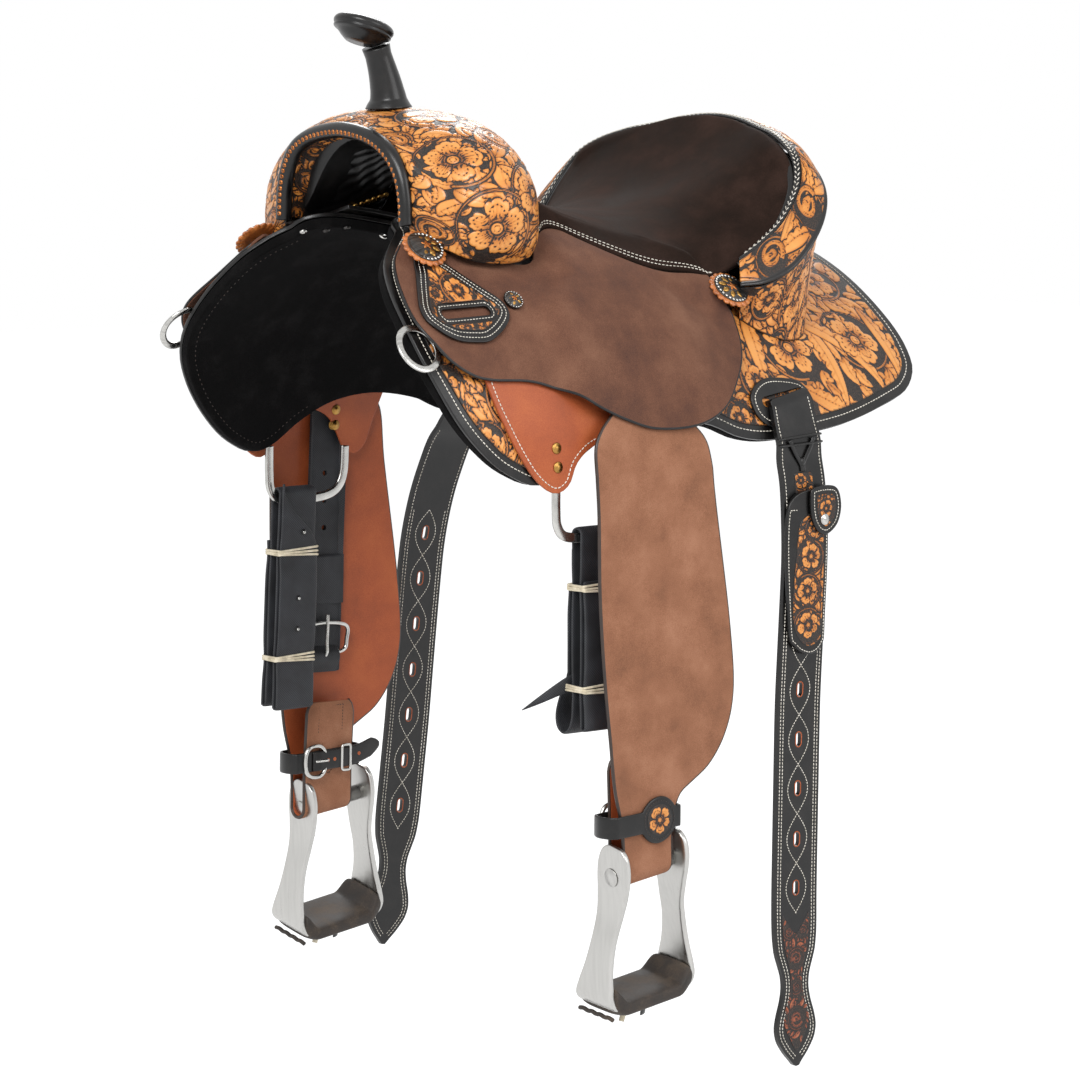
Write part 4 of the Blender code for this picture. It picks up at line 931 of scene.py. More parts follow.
# %% Skirts, jockeys, plates and keepers
for side, tag in SIDES:
    surf = panel(side)
    made = sheet(f"skirt_border_{tag}", SKIRT_EDGE, surf, 0.0, SKIRT - 0.9, BLACK, node=f"skirt_{tag}",
                 slot="skirt", spacing=9)
    softened(made, 1.2)
    made = sheet(f"skirt_felt_{tag}", SKIRT_EDGE, surf, -10.6, -0.6, FELT, node=f"skirt_lining_{tag}",
                 slot="skirt_lining", spacing=9)
    softened(made, 2.0)
    line = inset(curve(SKIRT_EDGE, 400, True), BORDER)
    rear = cropped(line, lambda p: (p[:, 0] > 22) & (p[:, 1] > -18))
    rear = np.vstack([rear, [(150, 14), (120, 60), (60, 120), (24, 200)]])
    front = cropped(line, lambda p: (p[:, 0] < -132) & (p[:, 1] > 70))
    front = np.vstack([front, [(-200, 90), (-150, 200)]])
    for name, edge, flowers, fronds in (("rear", rear, FLOWERS_REAR, FRONDS_REAR),
                                        ("front", front, FLOWERS_FRONT, ())):
        edge = spaced(np.vstack([edge, edge[:1]]), int(run(edge, True) / 2.2) + 1)[:-1]
        sheet(f"skirt_tooling_{name}_{tag}", edge, surf, SKIRT - 0.8, SKIRT - 0.35, TOOLED, body="saddle",
              slot="skirt", spacing=1.5, exact=True, values=carving(flowers, fronds=fronds), smooth=True)
    seam(f"skirt_stitches_{tag}", SKIRT_EDGE, surf, SKIRT - 0.9, 8.0, body="saddle",
         part=lambda p: (p[:, 1] > 0) | (p[:, 0] > 250))

    whole = JOCKEY_EDGE + [(y, s + 1.8) for y, s in SEAM[::-1]] + UNDER_SWELL
    made = sheet(f"jockey_{tag}", whole, surf, jockey_low, jockey_high, JOCKEY, node=f"seat_jockey_{tag}",
                 slot="jockey", spacing=6)
    softened(made, 1.0)
    edge = inset(curve(JOCKEY_EDGE, 260), 0.2)[2:-2]
    bead = surf(*edge.T, jockey_low(*edge.T) + 2.2)
    tube(f"jockey_bead_{tag}", bead, 1.4, BLACK, 8, body="saddle", slot="jockey")

    made = sheet(f"plate_leather_{tag}", PLATE_EDGE, surf, *PLATE_LEVELS, RUSSET,
                 node=f"rigging_plate_{tag}", slot="plate", spacing=6)
    softened(made, 1.0)
    seam(f"plate_stitches_{tag}", PLATE_EDGE, surf, PLATE_LEVELS[1], 5.0, body="saddle",
         part=lambda p: p[:, 1] > 205)

    slot = slot_loop(*KEEPER_SLOT, 4.5)
    made = sheet(f"keeper_border_{tag}", KEEPER_EDGE, surf, lambda y, s: jockey_high(y, s) + 1.2,
                 keeper_top, BLACK, holes=[slot], node=f"latigo_keeper_{tag}", slot="keeper", spacing=4)
    softened(made, 1.0)
    inner = inset(curve(KEEPER_EDGE, 130, True), 10.5)
    sheet(f"keeper_tooling_{tag}", inner, surf, lambda y, s: keeper_top(y, s) + 0.05,
          lambda y, s: keeper_top(y, s) + 0.3, TOOLED, holes=[slot_loop(*KEEPER_SLOT, 10.2, 12)],
          body="saddle", slot="keeper", spacing=1.5, exact=True, values=carving(FLOWERS_KEEPER, 1.0, 0.5))
    for row, d in (("outer", 4.0), ("inner", 8.2)):
        seam(f"keeper_stitches_{row}_{tag}", KEEPER_EDGE, surf, keeper_top, d, body="saddle", **FINE_STITCH)

    ring = slot_loop(*KEEPER_SLOT, 7.4, 12)
    ring = curve(np.vstack([ring, ring[:1]]), 120)
    here = surf(*ring.T, keeper_top(*ring.T))
    out = unit(surf(*ring.T, keeper_top(*ring.T) + 1) - here)
    stitches(f"keeper_slot_stitches_{tag}", here, out, body="saddle", **FINE_STITCH)

    billet_slot = slot_loop((103, 237), (153, 226), 4.5)
    made = sheet(f"slot_plate_leather_{tag}", SLOT_PLATE, surf, 5.6, 8.8, BLACK, holes=[billet_slot],
                 spacing=4, node=f"billet_slot_plate_{tag}", slot="black_leather")
    softened(made, 1.0)
    seam(f"slot_plate_stitches_{tag}", SLOT_PLATE, surf, 8.8, 4.5, body="saddle", long=2.5, pitch=3.2,
         wide=0.9)

print("skirts, jockeys, plates and keepers made")

# %% [markdown]
# The swell is the carved leather stretched over the fork. On the real saddle it is one wet-moulded hide.
# It is the same set of arch sections as the CAD's, taken on a fine grid: across the arch and round the bulge.

# %% Swell
IN = [(114, 104), (100, 112), (86, 124), (75, 138), (66, 151), (55, 164), (40, 176), (21, 184), (0, 186)]
OUT = [(151, 76), (166, 93), (172, 118), (169, 144), (155, 166), (133, 184), (104, 198), (62, 209),
       (0, 214)]
SHAPE = [(0, -197), (0.28, -202), (0.55, -200), (0.78, -189), (0.94, -172), (1.0, -154), (0.96, -135),
         (0.84, -118), (0.6, -105), (0.25, -99), (0, -99)]
STATIONS, ROUND = 430, 168
arch_in = arched(IN, STATIONS)
arch_out = arched(OUT, STATIONS)
profile = spaced(curve(np.array(SHAPE) * (90, 1), 300), ROUND) / (90, 1)
LIP = [(92, 104), (91, 116), (90, 132), (86, 150), (79, 164), (68, 176), (52, 185), (30, 191), (0, 194)]
arch_lip = arched(LIP, STATIONS)
thick = np.linalg.norm(arch_out - arch_in, axis=1)
way = (arch_out - arch_in) / thick[:, None]
out = profile[:, 0][None] * thick[:, None]
opening = step(0.62, 0.0, profile[:, 0]) * step(-150, -192, profile[:, 1])
swell = np.stack([arch_in[:, :1] + way[:, :1] * out + (arch_lip - arch_in)[:, :1] * opening,
                  profile[:, 1] - 15 * opening + 0 * out,
                  arch_in[:, 1:] + way[:, 1:] * out + (arch_lip - arch_in)[:, 1:] * opening], -1)


def normals(grid):
    """Outward directions of a grid of points, from the cross product of its two runs."""
    return unit(np.cross(np.gradient(grid, axis=1), np.gradient(grid, axis=0)))


facing = normals(swell)
if facing[STATIONS // 2, ROUND // 2, 2] < 0:
    facing = -facing
around_u = travel(arch_out)
around_u -= around_u[-1] / 2
across_v = travel(profile * (75, 1))
u, v = np.meshgrid(around_u, across_v, indexing="ij")
print("swell, round the arch", round(around_u[-1] * 2), "mm, across", round(across_v[-1]), "mm")
FLOWERS_SWELL = [
    (151, 62, 29, 20, 1), (228, 84, 30, 75, 1), (196, 130, 24, 130, -1), (64, 92, 28, 40, -1),
    (244, 28, -15, 10, -1), (92, 30, -17, 100, 1), (126, 122, -17, 40, -1), (250, 142, 18, 20, 1),
]
FLOWERS_SWELL += mirrored(FLOWERS_SWELL)
FLOWERS_SWELL += [(2, 36, -15, 30, 1), (0, 140, 22, 10, 1)]
place = bloom(u, v, FLOWERS_SWELL)
rim = np.minimum(np.minimum(v, across_v[-1] - v), np.minimum(u + around_u[-1], around_u[-1] - u))
ink = 1 - step(1.0, 3.0, rim)
relief = carved(place, 0.8) * (1 - ink)
top = swell + facing * relief[..., None]
low = swell - facing * 2.6
rings = np.concatenate([top, low[:, ::-4]], 1)
low_ink = np.concatenate([ink, np.ones((STATIONS, low[:, ::-4].shape[1]))], 1)
low_place = np.concatenate([place, place[:, ::-4]], 1)
loft("swell_tooling", rings, TOOLED, node="swell_cover", slot="swell", bloom=low_place.reshape(-1, 3),
     ink=low_ink.ravel())

# %% [markdown]
# The gullet is the tunnel under the fork: a wrinkled black lining, a rolled binding at its front edge with a
# row of small copper spots, and a row of brass nails that holds the lining.

# %% Gullet
fine = arched(IN, 161)
lip = arched(LIP, 161)
way = tangent(fine)
off = quarter(way)
if (fine[80] + off[80] * 3)[1] > fine[80][1]:
    off = -off
roll_y = np.full(161, -218.0) + 3 * step(60, 95, np.abs(lip[:, 0]))
roll = np.stack([lip[:, 0] - off[:, 0], roll_y, lip[:, 1] - off[:, 1]], 1)[3:158]
tube("gullet_roll", roll, 7.4, BLACK, 18, up=(0, 1, 0), node="gullet_binding", slot="black_leather")
spots = spaced(roll, 50)[1:-1]
ahead = tangent(spots)
up = unit(np.cross(ahead, (0, 1, 0)))
up = np.where((up[:, 2:] * spots[:, 2:] + up[:, :1] * spots[:, :1]) < 0, -up, up)
out = unit(np.array([0, -1.0, 0]) * 0.9 - 0.25 * up)


def domes(name, centres, out, radius, tall, material, rows=5, n=12, **more):
    """Round heads: each a cap of rings that narrow from its rim to its top, closed below."""
    centres, out = np.asarray(centres, float), unit(np.asarray(out, float))
    u = unit(np.cross(out, np.where(np.abs(out[:, 2:]) < 0.9, [[0, 0, 1.0]], [[1.0, 0, 0]])))
    v = np.cross(out, u)
    t = angles(n)
    a = np.linspace(0, np.pi / 2 * 0.93, rows)
    r = np.concatenate([[0.98], np.cos(a)])
    h = np.concatenate([[-0.35], np.sin(a)])
    ring = (r[:, None, None] * radius * (np.cos(t)[None, :, None] * u[:, None, None]
                                         + np.sin(t)[None, :, None] * v[:, None, None])
            + h[:, None, None] * tall * out[:, None, None])
    points = centres[:, None, None] + ring
    m = rows + 1
    base = list(quads(m, n, False, True)) + [np.arange(n)[::-1], (m - 1) * n + np.arange(n)]
    faces = [f + k * m * n for k in range(len(centres)) for f in base]
    return piece(name, points, faces, material, **more)


domes("gullet_spots", spots + out * 6.7, out, 2.4, 1.4, COPPER, body="saddle", slot="concho")
domes("gullet_spot_centres", spots + out * 7.5, out, 1.0, 0.8, BLACK, n=8, rows=3, body="saddle",
      slot="concho")


def tunnel(y, h, rows):
    """The gullet's inner surface at depths y, h into the opening: it flares to the lip at its front."""
    k = step(-150, -196, y)[None]
    x = fine[rows, :1] + off[rows, :1] * h + (lip - fine)[rows, :1] * k
    z = fine[rows, 1:] + off[rows, 1:] * h + (lip - fine)[rows, 1:] * k
    return np.stack([x, y[None] - 15 * k + 0 * x, z], -1)


rows = slice(6, 155)
depth_y = np.linspace(-199, -104.5, 44)
about = np.arange(161)[rows][:, None]
wrinkle = np.sin(depth_y[None] * 0.35 + about * 0.25) * np.sin(about * 0.55 + depth_y[None] * 0.05)
wrinkle = wrinkle * step(-196, -175, depth_y)[None]
skin = [tunnel(depth_y, 2.2 + wrinkle, rows), tunnel(depth_y, 0.6 + 0 * wrinkle, rows)[:, ::-1]]
loft("gullet_skin", np.concatenate(skin, 1), BLACK, node="gullet_lining", slot="black_leather")
strip_y = np.linspace(-199, -160, 40)
rows = np.linspace(6, 154, 420)
whole = np.floor(rows).astype(int)
frac = (rows - whole)[:, None]
fine_s, off_s, lip_s = (a[whole] * (1 - frac) + a[np.minimum(whole + 1, 160)] * frac
                        for a in (fine, off, lip))
k = step(-150, -196, strip_y)[None]
x = fine_s[:, :1] + (lip_s - fine_s)[:, :1] * k
z = fine_s[:, 1:] + (lip_s - fine_s)[:, 1:] * k
u_s = travel(lip_s)
u_s -= u_s[-1] / 2
u, v = np.meshgrid(u_s, (strip_y + 199) * 1.15, indexing="ij")
curls = [(c, 16 + 3 * np.sin(c), -9.5, 40 * c, 1 if c % 2 else -1) for c in range(-170, 171, 34)]
place = bloom(u, v, curls)
wave = 28 + 9 * np.sin(u_s[:, None] * 0.09)
ink = np.maximum(1 - step(0.6, 1.8, v), step(wave - 3, wave, v))
rise = carved(place, 0.6) * (1 - ink)
h = 3.0 + rise - 3.5 * step(wave, wave + 6, v)
face = np.stack([x + off_s[:, :1] * h, strip_y[None] - 15 * k + 0 * x, z + off_s[:, 1:] * h], -1)
base = np.stack([x + off_s[:, :1] * 0.9, strip_y[None] - 15 * k + 0 * x, z + off_s[:, 1:] * 0.9],
                -1)[:, ::-4]
place = np.concatenate([place, place[:, ::-4]], 1)
ink = np.concatenate([ink, np.ones((420, base.shape[1]))], 1)
loft("gullet_tooling", np.concatenate([face, base], 1), TOOLED, body="saddle", slot="swell",
     bloom=place.reshape(-1, 3), ink=ink.ravel())

# %% [markdown]
# The horn is wrapped in glossy black leather: a neck that stands on a flared collar and a domed cap whose
# edge is one thick rolled seam. Both are turned shapes, so each is a profile carried round an axis.

# %% Horn
def turned(name, centre, axis, rows, material, n=64, across=(1, 0, 0), shape=None, **more):
    """A turned body: rows are (radius, height), bottom to top. shape(t, rows) may change the radius."""
    axis = unit(np.array(axis, float))
    u = unit(np.cross(axis, across))
    v = np.cross(axis, u)
    t = angles(n)
    rows = np.array(rows, float)
    r = rows[:, :1] * (np.ones((1, n)) if shape is None else shape(t[None], rows))
    ring = r[..., None] * (np.cos(t)[:, None] * u + np.sin(t)[:, None] * v) + rows[:, 1][:, None, None] * axis
    return loft(name, np.array(centre) + ring, material, **more)


neck = curve([(0, -163, 214.35), (0, -164, 226), (0, -168.5, 244), (0, -177.6, 270.2)], 40)
wide = np.interp(np.linspace(0, 7, 40), range(8), [22.5, 17.5, 16, 15, 14, 13.2, 12.6, 13.5])
way = tangent(neck)
t = angles(48)[:, None]
rings = [p + r * (np.cos(t) * (1.0, 0, 0) + np.sin(t) * np.cross(w, (1.0, 0, 0)) * 0.95) for p, w,
         r in zip(neck, way, wide)]
loft("horn_wrap", rings, BLACK, node="horn_neck", slot="black_leather")
cap_rows = curve([(13.5, -8.2), (18, -5), (22.8, -0.8), (26.4, 1.2), (27.2, 2.6), (26.6, 3.8), (27.8, 5.4),
                  (28.2, 8.0), (26.4, 11.0), (22, 13.0), (15, 14.9), (7, 16.0), (1, 16.3)], 60)
turned("horn_cap_leather", (0, -194, 281.5), (0, 0.342, 0.94), cap_rows, BLACK, node="horn_cap",
       slot="black_leather")

# %% [markdown]
# The seat is foam under suede. The CAD's dish is a soft shape, so it is made again here on a fine grid:
# rings run from its middle out to the crest, then roll over to the seam. Low swells keep it from looking
# perfect.

# %% Seat
RIM = [(158, 95, 60), (164, 122, 71), (169, 143, 87), (171, 164, 105), (170, 180, 127), (165, 190, 144),
       (153, 198, 162), (132, 206, 175), (103, 216, 185), (72, 225, 191), (38, 232, 198), (0, 235, 201)]
ROLL = [(161, 99, 54), (182, 108, 50), (200, 124, 54), (210, 148, 68), (211, 172, 91), (204, 192, 112),
        (190, 208, 131), (168, 221, 148), (136, 234, 163), (100, 244, 174), (52, 250, 182), (0, 252, 185)]
seam_line = [tuple(p) for p in back(*np.array(SEAM).T, jockey_high(*np.array(SEAM).T))]
edge_near = curve([(0, -96.5, 176), (40, -96.5, 172), (80, -96.5, 160), (112, -96, 136)] + seam_line + RIM,
                  150)
crest = [(0, -91, 175), (37, -91, 171), (74, -90, 158), (98, -87, 142), (99, -78, 135), (100, -66, 128),
         (101, -52, 121),
         (104, -36, 114), (109, -10, 106), (116, 14, 99), (123, 40, 92), (137, 66, 84), (146, 82, 76)]
crest += [(x * 0.955, y - 5 * (y > 190) - 2, z + 3.5) for x, y, z in RIM]
crest = curve(crest, 400)
MIDDLE = np.array([0, 60.0, 117.0])


def bearing(p):
    """Direction round the seat's middle."""
    return np.unwrap(np.arctan2(p[:, 0], -(p[:, 1] - MIDDLE[1])))


crest_near = np.stack([np.interp(bearing(edge_near), bearing(crest), crest[:, k]) for k in range(3)], 1)
bound = np.vstack([edge_near, edge_near[-2:0:-1] * (-1, 1, 1)])
crest_all = np.vstack([crest_near, crest_near[-2:0:-1] * (-1, 1, 1)])


def seat_ring(r):
    """Ring of the seat: r up to 0.9 runs from the middle to the crest, the rest rolls over to the seam."""
    if r <= 0.9:
        k = r / 0.9
        p = MIDDLE + (crest_all - MIDDLE) * k
        p[:, 2] = MIDDLE[2] + (crest_all[:, 2] - MIDDLE[2]) * k**2.3
        return p
    k = (r - 0.9) / 0.1
    p = crest_all + (bound - crest_all) * k
    p[:, 2] += (crest_all[:, 2] - bound[:, 2]) * (1 - (1 - k) ** 2 - k) * -0.25
    return p


radii = np.concatenate([np.linspace(0.02, 0.86, 46), np.linspace(0.875, 0.985, 16)])
top = np.array([seat_ring(r) for r in radii])
# round the crest by averaging neighbouring rings
for _ in range(10):
    top[40:-2] = (top[39:-3] + 2 * top[40:-2] + top[41:-1]) / 4
share = np.clip((46 - np.arange(len(top))) / 46.0, 0, 1)[:, None, None] ** 0.5
for _ in range(260):
    top = top + 0.5 * share * ((np.roll(top, 1, 1) + np.roll(top, -1, 1)) / 2 - top)
for _ in range(12):
    top[1:44] = (top[:43] + 2 * top[1:44] + top[2:45]) / 4
x, y = top[..., 0], top[..., 1]
swells = 0.7 * np.sin(x * 0.045 + 1.3 * np.sin(y * 0.03)) * np.sin(y * 0.05 + 0.6)
top[..., 2] += swells * (radii < 0.95)[:, None]
low = top[::-6] - (0, 0, 5.5)
seat = loft("seat_suede_pad", np.concatenate([top, low]), SUEDE, node="seat_pad", slot="seat_suede")
keep = (bound[:, 1] > -92) & (bound[:, 1] < 100)
for row, ring in (("low", -2), ("high", -4)):
    for side, tag in SIDES:
        path = top[ring][keep & (bound[:, 0] * side > 0)]
        around = path[np.argsort(path[:, 1])]
        out = unit(np.stack([side * np.full(len(around), 0.8), 0 * around[:, 1], np.full(len(around), 0.6)],
                            1))
        stitches(f"seat_stitches_{row}_{tag}", around, out, pitch=4.2, long=3.0, body="saddle")

# %% [markdown]
# The cantle is the seat's back rest. Round its top runs a black binding laced with white buckstitch, and
# behind it the rolled rim, carved on top and edged in black. All follow the rim line of the CAD.

# %% Cantle
N = 460
rim = curve(RIM[1:] + [(-x, y, z) for x, y, z in RIM[-2:0:-1]], N)
roll = curve(ROLL[1:] + [(-x, y, z) for x, y, z in ROLL[-2:0:-1]], N)
way = roll - rim
way[:, 2] = 0
reach = np.linalg.norm(way[:, :2], axis=1)
way = unit(way)
UP = np.array([0, 0, 1.0])
gap = np.minimum(9.0, 0.42 * reach)
ends = 0.35 + 0.65 * step(0, 0.115 * N, np.minimum(np.arange(N), N - 1 - np.arange(N)))
t = angles(20)[None, :, None]
half = (gap / 2 - 0.4)[:, None, None]
middle = rim + way * (0.3 + gap / 2)[:, None]
rings = middle[:, None] + way[:, None] * half * np.cos(t) + UP * (1.5 + 2.2 * np.sin(t))
loft("cantle_binding_leather", rings, BLACK, node="cantle_binding", slot="black_leather")
along_rim = middle + UP * 3.6
for k, (shift, lean) in enumerate(((-1.6, 32), (1.6, -32))):
    row = (along_rim + way * shift)[4:-4]
    stitches(f"buckstitch_{k}", row, np.broadcast_to(UP, row.shape), pitch=5.6, long=3.8, wide=1.15,
             turn=lean, sink=0.15, body="saddle")

tube("seat_welt", rim - way * 1.5 - UP * 5.5, 4.6, BLACK, 12, body="saddle", slot="black_leather")
a = rim + way * gap[:, None] + UP * 1.5
b = roll + UP * 1.0
k = np.linspace(0, 1, 40)[None, :, None]
surface = a[:, None] * (1 - k) + b[:, None] * k
bulge = 6.0 * ends[:, None] * (1 - (2 * k[..., 0] - 1) ** 2)
surface = surface + UP * bulge[..., None]
facing = normals(surface)
facing = np.where(facing[..., 2:] < 0, -facing, facing)
u = travel(roll)
u -= u[-1] / 2
v = (k[0, :, 0][None] - 0.5) * reach[:, None]
u = np.broadcast_to(u[:, None], v.shape)
FLOWERS_ROLL = [(250, -2, -19, 200, 1), (318, 1, -16, 230, 1), (180, 0, -18, 60, -1), (112, 1, -18, 240, 1),
                (44, 0, -17, 60, -1)]
FRONDS_ROLL = []
for a_, b_, _, t_, h_ in FLOWERS_ROLL:
    FRONDS_ROLL.append((a_ + 18, 15 * h_, -24 * h_, 52, 30 * h_, 8.0, h_))
    FRONDS_ROLL.append((a_ + 20, -15 * h_, 20 * h_, 46, 12 * h_, 6.5, -h_))
    FRONDS_ROLL.append((a_ - 16, -16 * h_, 180 - 6 * h_, 34, 26 * h_, 5.5, h_))
FRONDS_ROLL += [(-a_, b_, 180 - t_, l_, -e_, w_, -h_) for a_, b_, t_, l_, e_, w_, h_ in FRONDS_ROLL]
FLOWERS_ROLL += mirrored(FLOWERS_ROLL)
place = bloom(u, v, FLOWERS_ROLL, FRONDS_ROLL)
from_edge = np.minimum(k[0, :, 0], 1 - k[0, :, 0])[None] * reach[:, None]
ink = 1 - step(1.2, 2.4, from_edge)
top = surface + facing * (carved(place, 0.6) * (1 - ink))[..., None]
edge_t = np.linspace(0.5, -0.5, 9)[1:-1] * np.pi
thick = 5.0 * ends
outer = (b - UP * (thick / 2 + 0.5)[:, None])[:, None] + (thick[:, None, None] / 2 + 0.5) * (
    np.cos(edge_t)[None, :, None] * way[:, None] * 0.8 + np.sin(edge_t)[None, :, None] * UP)
under = surface[:, ::-6] - UP * (4.5 * ends)[:, None, None]
rings = np.concatenate([top, outer, under], 1)
more = rings.shape[1] - top.shape[1]
place = np.concatenate([place, np.repeat(place[:, -1:], more, 1)], 1)
ink = np.concatenate([ink, np.ones((N, more))], 1)
loft("cantle_roll_tooling", rings, TOOLED, node="cantle_roll", slot="swell", bloom=place.reshape(-1, 3),
     ink=ink.ravel())

# the housing: carved leather from under the rolled rim down to the skirt
table_s = np.linspace(-45, 240, 286)


def on_skirt(p, h):
    """Points moved straight up or down onto the skirt, h above its underside."""
    made = p.copy()
    for i, q in enumerate(p):
        line = back(np.full(286, q[1]), table_s, h)
        made[i, 2] = np.interp(abs(q[0]), line[:, 0], line[:, 2])
    return made


top_edge = roll - way * 2.5 - UP * (2.5 + 2.5 * ends)[:, None]
inward = np.minimum(24.0, 0.6 * reach)[:, None]
foot = on_skirt(roll - way * inward, 5.6)
foot[:, 2] = np.minimum(foot[:, 2], top_edge[:, 2] - 0.5)
hip = foot + way * 3.0
hip[:, 2] = 0.55 * top_edge[:, 2] + 0.45 * foot[:, 2]
K = np.linspace(0, 1, 84)[None, :, None]
wall = (1 - K) ** 2 * top_edge[:, None] + 2 * K * (1 - K) * hip[:, None] + K**2 * foot[:, None]
facing = normals(wall)
facing = np.where(((facing * way[:, None]).sum(-1, keepdims=True) + 0.4 * facing[..., 2:]) < 0, -facing,
                  facing)
u = np.broadcast_to(u[:, :1], (N, 84))
v = np.concatenate([np.zeros((N, 1)), np.cumsum(np.linalg.norm(np.diff(wall, axis=1), axis=-1), axis=1)], 1)
drop = v[:, -1]
FLOWERS_WALL = [
    (322, 20, 16, 10, 1), (276, 44, 24, 60, -1), (214, 60, 26, 20, 1), (150, 56, 26, 100, -1),
    (86, 56, 26, 30, 1),
    (24, 56, 24, 0, -1), (306, 78, 15, 60, 1), (246, 98, 20, 140, 1), (184, 116, 24, 20, -1),
    (118, 116, 24, 60, 1), (54, 116, 24, 0, -1), (282, 12, 9, 0, 1),
]
FLOWERS_WALL += mirrored(FLOWERS_WALL)
place = bloom(u, v, FLOWERS_WALL)
ink = 1 - step(0.5, 2.0, np.minimum(v, drop[:, None] - v))
out_wall = wall + facing * (carved(place, 0.6) * (1 - ink))[..., None]
low = (wall - facing * 2.4)[:, ::-5]
more = low.shape[1]
loft("cantle_housing_tooling", np.concatenate([out_wall, low], 1), TOOLED, node="cantle_back", slot="swell",
     bloom=np.concatenate([place, place[:, ::-5]], 1).reshape(-1, 3),
     ink=np.concatenate([ink, np.ones((N, more))], 1).ravel())
print("swell, horn, seat and cantle made")

# %% [markdown]
# Webbing is woven nylon: its threads are drawn 2.4 mm apart, coarser than life, so that they show. Burnished
# edges are leather rubbed dark with wax. The stirrups' leather treads are worn pale brown on top.

# %% Webbing and worn leather
def webbing(name, dark, light, pitch, rough=0.6):
    """Woven nylon: two crossed sine waves, `pitch` metres apart, raise the threads, with painted highlight on
    their tops.
    """
    made, tree, out, at = blank(name)
    part = add(tree, "SeparateXYZ", {0: at})
    wave = []
    for axis, phase in ((1, 0.0), (2, 1.6)):
        turn = add(tree, "Math", {0: part.outputs[axis], 1: 2 * math.pi / pitch, 2: phase},
                   operation="MULTIPLY_ADD")
        wave.append(add(tree, "Math", {0: turn.outputs[0]}, operation="SINE").outputs[0])
    weave_and_painted_highlight = add(tree, "Math", {0: wave[0], 1: wave[1]}, operation="MULTIPLY")
    # painted highlight: thread tops lighter, with painted shade in the dips between them
    tone = add(tree, "MapRange", {0: weave_and_painted_highlight.outputs[0], 1: -1.0, 2: 1.0})
    cloud = add(tree, "TexNoise", {"Vector": at, "Scale": 45.0, "Detail": 4.0})
    both = add(tree, "Math", {0: tone.outputs[0], 1: cloud.outputs[0]}, operation="MULTIPLY")
    body = add(tree, "ValToRGB", {0: both.outputs[0]}, [(0.1, dark), (0.65, light)])
    bump = add(tree, "Bump", {"Height": weave_and_painted_highlight.outputs[0], "Strength": 0.5, "Distance": 0.0003})
    shader = add(tree, "BsdfPrincipled", {
        "Base Color": body.outputs[0], "Roughness": rough, "Normal": bump.outputs[0],
        "Sheen Weight": 0.05, "Sheen Roughness": 0.4})
    tree.links.new(shader.outputs[0], out.inputs[0])
    return made


NYLON = webbing("black_nylon_webbing", "#0c0d10", "#3a3c42", 0.0024)
EDGE = leather("burnished_edge", "#1b120d", "#2a1c14", "#3d2a1e", 0.5, 0.0009, 0.0001, 0.02, coat=0.2)
TREAD = leather("worn_tread_leather", "#1e1a17", "#332b25", "#574a3d", 0.7, 0.0010, 0.0003, 0.03)
STRING = leather("cotton_string", "#b7ab93", "#d8ccb2", "#efe6d2", 0.9, 0.0007, 0.0004, 0.01)
CLAY = tooled("tooled_tip_leather", "#4f2514", "#94492a", "#c0744a")

# %% [markdown]
# The leg: a fender is one thick hide, rough side out, that runs down, round the stirrup's bolt and back up
# behind. It is made as two skins of half its thickness, so the rough face and the smooth face each have
# their own leather, with a rubbed edge between them. It hangs turned by a small angle of its own.

# %% Fenders
FX = [(-30, 223.0), (-45, 229.0), (-60, 234.0), (-75, 238.0), (-90, 240.6), (-110, 242.6), (-135, 243.0),
      (-500, 243.0)]
FZ, FXS = np.array(FX)[::-1].T
LEG_FRONT = [(-76, -34), (-80, -42), (-92, -56), (-108, -70), (-117, -84), (-118.5, -104), (-116, -149),
             (-114, -221), (-108, -293), (-101, -349), (-95, -395), (-87, -425), (-84.4, -446), (-84, -471)]
LEG_REAR = [(-26, -34), (-23, -42), (-14, -56), (0, -70), (12, -84), (17.5, -104), (22, -140), (37, -228),
            (43, -270), (46, -300),
            (45.5, -322), (41, -343), (31, -364), (16, -382), (-2, -394), (-18, -405), (-26, -425),
            (-28.4, -446), (-28, -471)]


def fender_x(z):
    """How far out the fender hangs at height z: straight down, leaning in at the top."""
    return np.interp(z, FZ, FXS)


front_line = curve(LEG_FRONT, 600)[::-1]
rear_line = curve(LEG_REAR, 600)[::-1]
zs = np.concatenate([np.linspace(-34, -110, 24), np.linspace(-114, -468, 96), [BOLT[2]]])
turn = np.radians(np.linspace(0, -180, 19))[1:]
down = np.stack([fender_x(zs), zs], 1)
bend = np.stack([BOLT[0] + 9.8 * np.cos(turn), BOLT[2] + 9.8 * np.sin(turn)], 1)
flap = curve([(223.4, -471), (223.6, -460), (223.8, -440), (223.4, -427), (222.6, -408), (221.6, -388),
              (220.8, -370)], 26)[1:]
path = np.vstack([down, bend, flap])
tail = len(bend) + len(flap)
y0 = np.concatenate([np.interp(zs, front_line[:, 1], front_line[:, 0]), np.full(tail, -84.0)])
y1 = np.concatenate([np.interp(zs, rear_line[:, 1], rear_line[:, 0]), np.full(tail, -28.0)])
y0[-3:] += (1.0, 2.5, 6.0)
y1[-3:] -= (1.0, 2.5, 6.0)
way = tangent(path)
out = quarter(way)
lean = np.tan(np.radians(STIRRUP_TILT)) * step(-400, -455, path[:, 1])
F = np.linspace(0, 1, 30)


